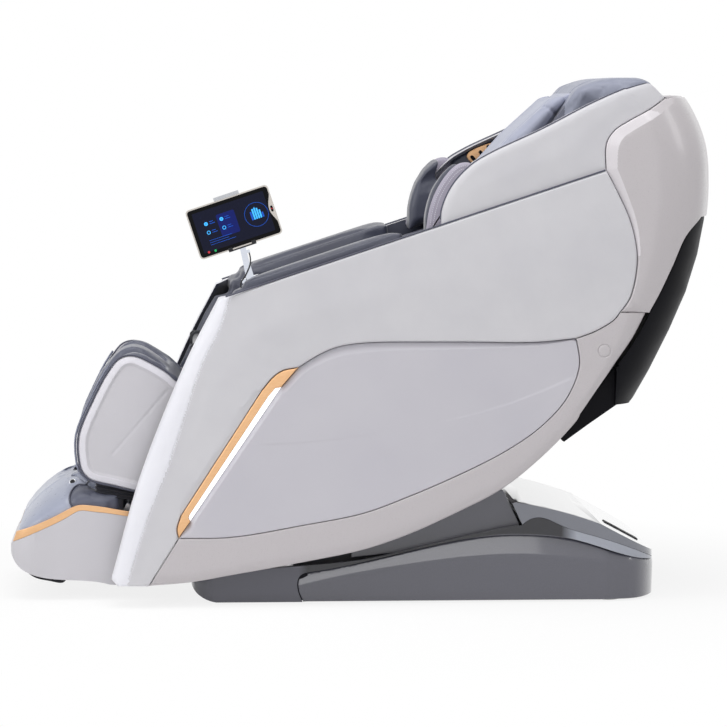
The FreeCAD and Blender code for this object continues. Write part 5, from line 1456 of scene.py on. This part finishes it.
ankleGaiter = {
    "outer": 236, "inner": 197, "low": [(-606, 236), (-502, 222)], "high": [(-606, 272), (-492, 250)],
    "pleats": 4, "depth": 3.5, "square": 0.4,  # square: the power that makes its round section boxy
    "footEnd": (-0.554, 0.0, 0.232), "calfEnd": (-0.552, 0.0, 0.258),
}


def boxy(turned):
    return math.copysign(abs(turned) ** ankleGaiter["square"], turned)


def makeGaiters():  # pleated side pieces between the foot unit and the calf unit
    low = np.array(ankleGaiter["low"], float)
    high = np.array(ankleGaiter["high"], float)
    centre = (ankleGaiter["outer"] + ankleGaiter["inner"]) / 2
    levels = ankleGaiter["pleats"] * 4
    around = 24
    rings = []
    for k in range(levels + 1):
        share = k / levels
        start, end = low + (high - low) * share
        drawn = ankleGaiter["depth"] * (0.5 - 0.5 * math.cos(2 * math.pi * share * ankleGaiter["pleats"]))
        half = np.linalg.norm(end - start) / 2 - drawn
        thick = (ankleGaiter["outer"] - ankleGaiter["inner"]) / 2 - drawn
        way = (end - start) / np.linalg.norm(end - start)
        ring = []
        for i in range(around):
            a = 2 * math.pi * i / around
            x, z = (start + end) / 2 + way * (boxy(math.cos(a)) * half)
            ring.append((x, -centre + boxy(math.sin(a)) * thick, z))
        rings.append(ring)
    points, faces = stacked(rings)
    left = newPiece("ankle_gaiter_left", np.array(points) * mm, faces, "gaiter")
    for piece in (left, mirrorOf(left, "ankle_gaiter_right")):
        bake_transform(piece)


makeCushion("seat_cushion")
print("seat cushion ready")
makeCushion("back_cushion", foldFlap)
print("back cushion ready")
makePadPair("arm_pad")
makePadPair("shoulder_pad", shapeShoulderPad)
makeShoulderLinings()
makeWingLinings()
makeSpeakers()
makeCushion("head_pillow", shapePillow)
makePillowFold()
print("pads ready")
makeCushion("calf_cushion")
foot = makeCushion("foot_cushion", shapeFoot)
makeFootWelts(foot)
makeEyelets(foot)
makeSoleEdges()
makeGaiters()
print("leg cushions ready")


# The leg rest's side panels

calfEdge = {
    "front": [(-642, 342), (-640, 318), (-634, 293), (-617, 274), (-563, 259), (-487, 240)],
    "rear": [(-380, 455), (-392, 480), (-419, 493), (-441, 512), (-477, 534), (-509, 549), (-530, 551),
             (-550, 544), (-567, 525), (-587, 493), (-611, 445), (-633, 396), (-641, 367)],
    "crease": [(-441, 473), (-566, 329)],
    "across": -252.0,
    "rim": 17.0, "edgeWidth": 15, "edgeDepth": 9, "sunk": 2.6,
}


def makeCalfSides():
    corner = [(-487, 240), (-380, 455)]
    outline = joined([calfEdge["front"], corner, calfEdge["rear"] + [(-642, 342)]], 6)
    around = np.array(smoothLine(calfEdge["rear"] + calfEdge["front"], 6))
    crease = np.array(smoothLine(calfEdge["crease"], 6))

    def lift(flat, d):
        fromRim = distanceTo(flat, around)
        height = rolled(d, calfEdge["edgeWidth"], calfEdge["edgeDepth"]) - 0.5
        height -= calfEdge["sunk"] * ease((fromRim - calfEdge["rim"]) / 5)
        return height - 1.0 * groove(distanceTo(flat, crease), 3) * ease((fromRim - 26) / 8)

    extra = [q for k in (14, 16.5, 19, 22, 24.5) for q in beside(around, k)]
    extra += [q for k in (-6, -3, 0, 3, 6) for q in beside(crease, k)]
    surface, normal = flatFace(1, calfEdge["across"], (0, -1, 0))
    left = skinPiece("calf_side_left", outline, "footSatin", lift, even(16), extra=extra, surface=surface,
                     normalOf=normal)
    # the rim band gets the lighter finish: a painted highlight along the edge that faces the light
    recolour(left, "calfRim", lambda c: (c[:, 1] < calfEdge["across"] + 8)
             & (distanceTo(c[:, [0, 2]], around) < calfEdge["rim"] - 1))
    onBothSides(left, "calf_side_panel", "legrest", "insert_satin", "calf_side")


def makeCalfPiping():
    around = smoothLine(calfEdge["rear"] + calfEdge["front"], 6)
    top = smoothLine(calfEdge["rear"][8:] + calfEdge["front"][:4], 6)
    outer = welt("calf_piping_left", [(x, -247.0, z) for x, z in beside(around, -1.5)], 2.2)
    twisted = solidLine("calf_cord_left", [[(x, -240.0, z) for x, z in beside(top, -7)]], "piping",
                        "darkThread", turns=420.0, Radius=3.0, Lobe=1.2)
    onBothSides(outer, "calf_piping", "legrest", "blue_grey_leather")
    onBothSides(twisted, "calf_cord", "legrest", "blue_grey_leather")


makeCalfSides()
makeCalfPiping()
print("leg panels ready")


# The base's side covers

baseShape = {
    "rear": 674.0,
    "bend": [(-130, -328), (-60, -303), (-18, -233), (-6, -128), (0, 0)],
    "groove": [(-140, 3), (-151, 30), (-150, 56), (-132, 69)],
    "line": [(-132, 69), (-5, 92), (203, 139), (307, 153), (370, 153), (453, 144), (569, 109), (656, 87)],
    "crease": [(-160, 34), (-112, 46), (-6, 68), (202, 98), (333, 106), (448, 100), (655, 78)],
    "upperLean": 0.30, "lowerLean": 0.03,  # how far it lies back for each mm above and below the crease
}
baseBend = np.array(smoothLine(baseShape["bend"], 4))
baseRun = np.concatenate([[0], np.cumsum(np.linalg.norm(np.diff(baseBend, axis=0), axis=1))])


def onBase(s, z):
    t = s - (baseShape["rear"] + baseBend[0, 0])
    x = np.where(t < 0, s, baseShape["rear"] + np.interp(t, baseRun, baseBend[:, 0]))
    return np.stack([x, np.interp(t, baseRun, baseBend[:, 1]), z], axis=1)


def baseNormal(s, z):
    along = onBase(s + 1, z) - onBase(s - 1, z)
    normal = np.stack([along[:, 1], -along[:, 0], np.zeros(len(s))], axis=1)
    return normal / np.linalg.norm(normal, axis=1)[:, None]


def baseUnrolled(point):
    start = baseShape["rear"] + baseBend[0, 0]
    if point[0] <= start:
        return tuple(point)
    return (start + float(np.interp(point[0] - baseShape["rear"], baseBend[:, 0], baseRun)), point[1])


def makeBaseCovers():
    line = [baseUnrolled(q) for q in smoothLine(baseShape["line"], 6)]
    last = baseShape["rear"] + baseBend[0, 0] + baseRun[-1] + 0.6
    head = [(line[-1][0] + (last - line[-1][0]) * k / 40, line[-1][1] - 1.5 * k / 40) for k in range(1, 41)]
    foot = [(last + (-140 - last) * k / 120, 3.2) for k in range(121)]
    around = np.array(smoothLine(baseShape["groove"], 6) + line[1:] + head + foot[:-1])
    outline = drawnBack(thinned(around, 2.0), 0.7)
    crease = np.array([baseUnrolled(q) for q in smoothLine(baseShape["crease"], 6)] + [(last + 5, 77)])

    def lift(flat, d):
        above = flat[:, 1] - np.interp(flat[:, 0], crease[:, 0], crease[:, 1])
        height = rolled(d, 3, 2.4) - 0.8
        height -= baseShape["upperLean"] * np.clip(above, 0, None)
        height -= baseShape["lowerLean"] * np.clip(-above, 0, None)
        return height - 0.6 * groove(above, 2.5)

    extra = [q for k in (-5, -2.4, -0.8, 0.8, 2.4, 5) for q in beside(crease, k)]
    cover = skinPiece("base_side_left", outline, "baseGloss", lift, even(14), 9.0, edgeSteps=(0.4, 1.2, 2.6),
                      extra=extra, surface=onBase, normalOf=baseNormal)
    # a dark sheet in the seamShade finish behind the groove: painted shade, so that the floor does not show
    # through
    gapLine = smoothLine([(-139, 8)] + baseShape["groove"][1:], 6)
    behind = thinned(np.array(list(beside(gapLine, 7)) + list(beside(gapLine, -7))[::-1]), 1.0)
    backing = skinPiece("groove", behind, "seamShade", even(-6), even(10), 7.0, edgeSteps=(1.0,),
                        surface=onBase, normalOf=baseNormal)
    left = joinPieces([cover, backing], "base_side_left")
    onBothSides(left, "base_side", "base", "base_gloss", "base_side_cover")


makeBaseCovers()
print("base covers ready")


# The tablet's front: glass, a lit screen of plain tiles, and a sensor

tabletFront = {
    "glass": (-86, 100, 76.3, 184.3), "screen": (-77, 89, 85, 176),
    "level": -23.3,  # its face, across the arm
    "grip": [(100.4, 166), (97.5, 158), (94, 150), (91.2, 141), (90.4, 133), (91.2, 125), (94.4, 116),
             (97.8, 108), (100.4, 101)],
    "keys": (24, 36, 30, 20),  # first from the left, step to the right, first from the top, step down
    "lines": (52, 44, 58),
    "bars": 6,
}


def roundTile(x0, x1, z0, z1, radius, steps=6):
    corners = [(x1 - radius, z1 - radius, 0), (x0 + radius, z1 - radius, 90), (x0 + radius, z0 + radius, 180),
               (x1 - radius, z0 + radius, 270)]
    return [(cx + radius * math.cos(math.radians(start + 90 * k / steps)),
             cz + radius * math.sin(math.radians(start + 90 * k / steps)))
            for cx, cz, start in corners for k in range(steps + 1)]


def ringTile(cx, cz, outer, inner, steps=40):
    angles = [math.radians(359 * k / steps) for k in range(steps + 1)]
    out = [(cx + outer * math.cos(a), cz + outer * math.sin(a)) for a in angles]
    back = [(cx + inner * math.cos(a), cz + inner * math.sin(a)) for a in angles[::-1]]
    return out + back


def screenTiles():  # finish, outline, how far the tile stands out and how thick it is
    x0, x1, z0, z1 = tabletFront["screen"]
    firstX, stepX, firstZ, stepZ = tabletFront["keys"]
    tiles = [("screenGlass", roundTile(*tabletFront["glass"], 7), 0.0, 1.0),
             ("screenNight", roundTile(x0, x1, z0, z1, 2), 0.1, 0.1),
             ("screenPatch", roundTile(x0 + 50, x0 + 92, z0 + 22, z1 - 18, 4), 0.15, 0.1)]
    for column, row in ((0, 0), (0, 1), (1, 0), (1, 1)):  # four round keys with two short bars beside each
        x = x0 + firstX + stepX * column
        z = z1 - firstZ - stepZ * row
        tiles.append(("screenCyan", ringTile(x, z, 4.2, 1.2 + 1.6 * row), 0.2, 0.1))
        tiles.append(("screenBlue", roundTile(x + 8, x + 17, z + 2, z + 3.2, 0.5), 0.2, 0.1))
        tiles.append(("screenBlue", roundTile(x + 8, x + 20, z - 2.6, z - 1.4, 0.5), 0.2, 0.1))
    for row, reach in enumerate(tabletFront["lines"]):  # three thin lines under them
        low = z0 + 23 - 5 * row
        high = z0 + 23.8 - 5 * row
        tiles.append(("screenBlue", roundTile(x0 + 20, x0 + 20 + reach, low, high, 0.3), 0.2, 0.1))
    for bar in range(tabletFront["bars"]):  # a block of bars on the right, with a ring round it
        high = 13 + 13 * math.sin(0.5 + bar * 0.55)
        x = x1 - 42 + 5 * bar
        finish = "screenCyan" if 0 < bar < 5 else "screenBlue"
        tiles.append((finish, roundTile(x, x + 3.6, 121, 121 + high, 1.2), 0.2, 0.1))
    tiles.append(("screenBlue", ringTile(x1 - 29, 131, 27, 26.2), 0.2, 0.1))
    tiles.append(("signRed", roundTile(-69, -63.6, 82, 87.4, 2.6), 0.25, 0.1))
    tiles.append(("signGreen", roundTile(-54, -48.6, 81, 86.4, 2.6), 0.25, 0.1))
    grip = [tuple(q) for q in smoothLine(tabletFront["grip"], 3)]
    tiles.append(("silver", grip[::-1] + [(102.6, 164), (102.6, 103)], 0.5, 0.6))
    tiles.append(("screenGlass", roundTile(93.6, 99, 125.5, 139.5, 2.6), 0.8, 0.3))
    tiles.append(("signRed", ringTile(96.3, 132.5, 1.5, 0.5), 0.9, 0.1))
    return tiles


def makeTabletFront():
    level = tabletFront["level"]
    tiles = screenTiles()
    order = sorted({tile[0] for tile in tiles})
    points = []
    faces = []
    marks = []
    for finish, outline, lift, thick in tiles:
        first = len(points)
        count = len(outline)
        points += [inArm(x, level - lift, z) for x, z in outline]
        points += [inArm(x, level - lift + thick, z) for x, z in outline]
        faces += [tuple(range(first, first + count)), tuple(range(first + count, first + 2 * count))[::-1]]
        faces += [(first + (i + 1) % count, first + i, first + i + count, first + (i + 1) % count + count)
                  for i in range(count)]
        marks += [order.index(finish)] * (count + 2)
    piece = newPiece("tablet_front", np.array(points) * mm, faces, order[0], 30)
    for finish in order[1:]:
        piece.data.materials.append(finishes[finish])
    piece.data.polygons.foreach_set("material_index", marks)
    turnOutwards(piece.data)
    place(piece, "holder", "screen_glass", "tablet_glass")


makeTabletFront()
print("tablet ready")


# Stage, light and world

studio = {
    "worldLight": 0.42,
    "floorHalf": 12,
    "floorGlow": 0.84, "shadowRun": (0.75, 1.5),  # the shadow fades out over the run, in m
    "lamps": {  # place, what it faces, width and height in metres, watts
        "overhead": ((-0.3, -1.0, 3.4), (-0.1, -0.2, 0.6), (3.0, 2.0), 54),
        "footSide": ((-3.4, -1.6, 2.0), (-0.4, 0.0, 0.5), (1.4, 2.4), 36),
        "headSide": ((3.2, -1.6, 2.4), (0.6, 0.0, 0.9), (0.6, 2.2), 14),
        "fill": ((-0.6, -5.2, 2.6), (0.0, 0.0, 0.6), (3.5, 1.8), 34),
    },
}


def seenPlainly(wiring):  # 1 for the camera's rays and for those that glossy and clear surfaces send on
    path = wiring.add("ShaderNodeLightPath").outputs
    seen = path["Is Camera Ray"]
    for kind in ("Is Glossy Ray", "Is Transmission Ray"):
        seen = wiring.add("ShaderNodeMath", {0: seen, 1: path[kind]}, operation="MAXIMUM").outputs[0]
    return seen


def floorPaper():
    material, wiring, spot = newMaterial("floorPaper")
    away = wiring.add("ShaderNodeVectorMath", {0: spot}, operation="LENGTH").outputs["Value"]
    bright = between(wiring, away, studio["floorGlow"], 1.0, *studio["shadowRun"])
    share = wiring.add("ShaderNodeMath", {0: seenPlainly(wiring), 1: bright}, operation="MULTIPLY").outputs[0]
    speckle = between(wiring, noiseAt(wiring, spot, 400.0, 2.0))
    tone = blendColours(wiring, speckle, colourOf("FAFAFA"), colourOf("F6F6F6"))
    paper = wiring.add("ShaderNodeBsdfDiffuse", {"Color": tone}).outputs[0]
    glow = wiring.add("ShaderNodeEmission", {"Color": (1, 1, 1, 1), "Strength": 1.0}).outputs[0]
    closeMaterial(wiring, wiring.add("ShaderNodeMixShader", {0: share, 1: paper, 2: glow}).outputs[0])
    return material


def addStage():
    half = studio["floorHalf"]
    finishes["floorPaper"] = floorPaper()
    corners = [(-half, -half, 0), (half, -half, 0), (half, half, 0), (-half, half, 0)]
    newPiece("floor", corners, [(0, 1, 2, 3)], "floorPaper")


def addWorld():
    world = bpy.data.worlds.new("studio")
    bpy.context.scene.world = world
    world.use_nodes = True
    world.node_tree.nodes.clear()
    wiring = Wiring(world.node_tree)
    strength = between(wiring, seenPlainly(wiring), studio["worldLight"], 1.0, 0.0, 1.0)
    background = wiring.add("ShaderNodeBackground", {"Color": (1, 1, 1, 1), "Strength": strength})
    wiring.add("ShaderNodeOutputWorld", {"Surface": background.outputs[0]})


def addLamp(name, spot, target, size, watts):
    lamp = addObject(name, bpy.data.lights.new(name, "AREA"))
    lamp.data.shape = "RECTANGLE"
    lamp.data.size, lamp.data.size_y = size
    lamp.data.energy = watts
    lamp.location = spot
    lamp.rotation_euler = (Vector(target) - Vector(spot)).to_track_quat("-Z", "Y").to_euler()


addStage()
addWorld()
for lamp, setting in studio["lamps"].items():
    addLamp(lamp, *setting)
bpy.context.scene.view_settings.view_transform = "Standard"
print("stage ready")


# Finishes of the parts that keep their modelled shape

carried = {
    "base_frame": "paintedSteel", "base_feet": "rubber", "slide_rails": "zinc", "control_box": "blackPlastic",
    "base_shroud": "shroudGloss", "base_deck": "deckGloss", "pedestal_cover": "baseGloss",
    "power_inlet": "blackPlastic", "power_rocker": "blackPlastic", "transport_wheels": "rubber",
    "carriage_frame": "paintedSteel", "seat_frame": "paintedSteel", "rear_cover": "blackCover",
    "massage_rails": "zinc", "massage_carriage": "paintedSteel", "massage_heads": "rubber",
    "air_pump": "blackPlastic", "recline_actuator_body": "blackPlastic", "recline_actuator_rod": "zinc",
    "leg_actuator_body": "blackPlastic", "leg_actuator_rod": "zinc", "calf_frame": "paintedSteel",
    "foot_shell": "footSatin", "foot_trim": "champagne", "foot_sole_pad": "rubber", "foot_rods": "zinc",
    "foot_rollers": "blackPlastic", "tablet_stalk": "chrome", "tablet_hub": "chrome",
    "tablet_holder": "blackPlastic", "holder_jaw": "zinc", "tablet": "silver",
}


def finishCarried():
    for node, finish in carried.items():
        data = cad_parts[node].data
        data.materials.clear()
        data.materials.append(finishes[finish])


easedEdges = {  # how wide the small roundings on their corners are, in mm
    "rear_cover": 3.0, "foot_shell": 4.0, "foot_trim": 1.8, "foot_sole_pad": 2.0, "base_shroud": 1.0,
    "base_deck": 1.0, "pedestal_cover": 2.0, "tablet_holder": 0.5, "holder_jaw": 0.6, "tablet_hub": 0.8,
}


def easeCorners():
    for node, width in easedEdges.items():
        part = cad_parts[node]
        weld = part.modifiers.new("weld", "WELD")
        weld.merge_threshold = 1e-5
        bevel = part.modifiers.new("ease", "BEVEL")
        bevel.width = width * mm
        bevel.segments = 3
        bevel.limit_method = "ANGLE"
        bevel.angle_limit = math.radians(38)
        bevel.use_clamp_overlap = True


finishCarried()
easeCorners()
lead.data.materials.append(finishes["blackPlastic"])
print("carried parts ready")


bpy.context.view_layer.update()
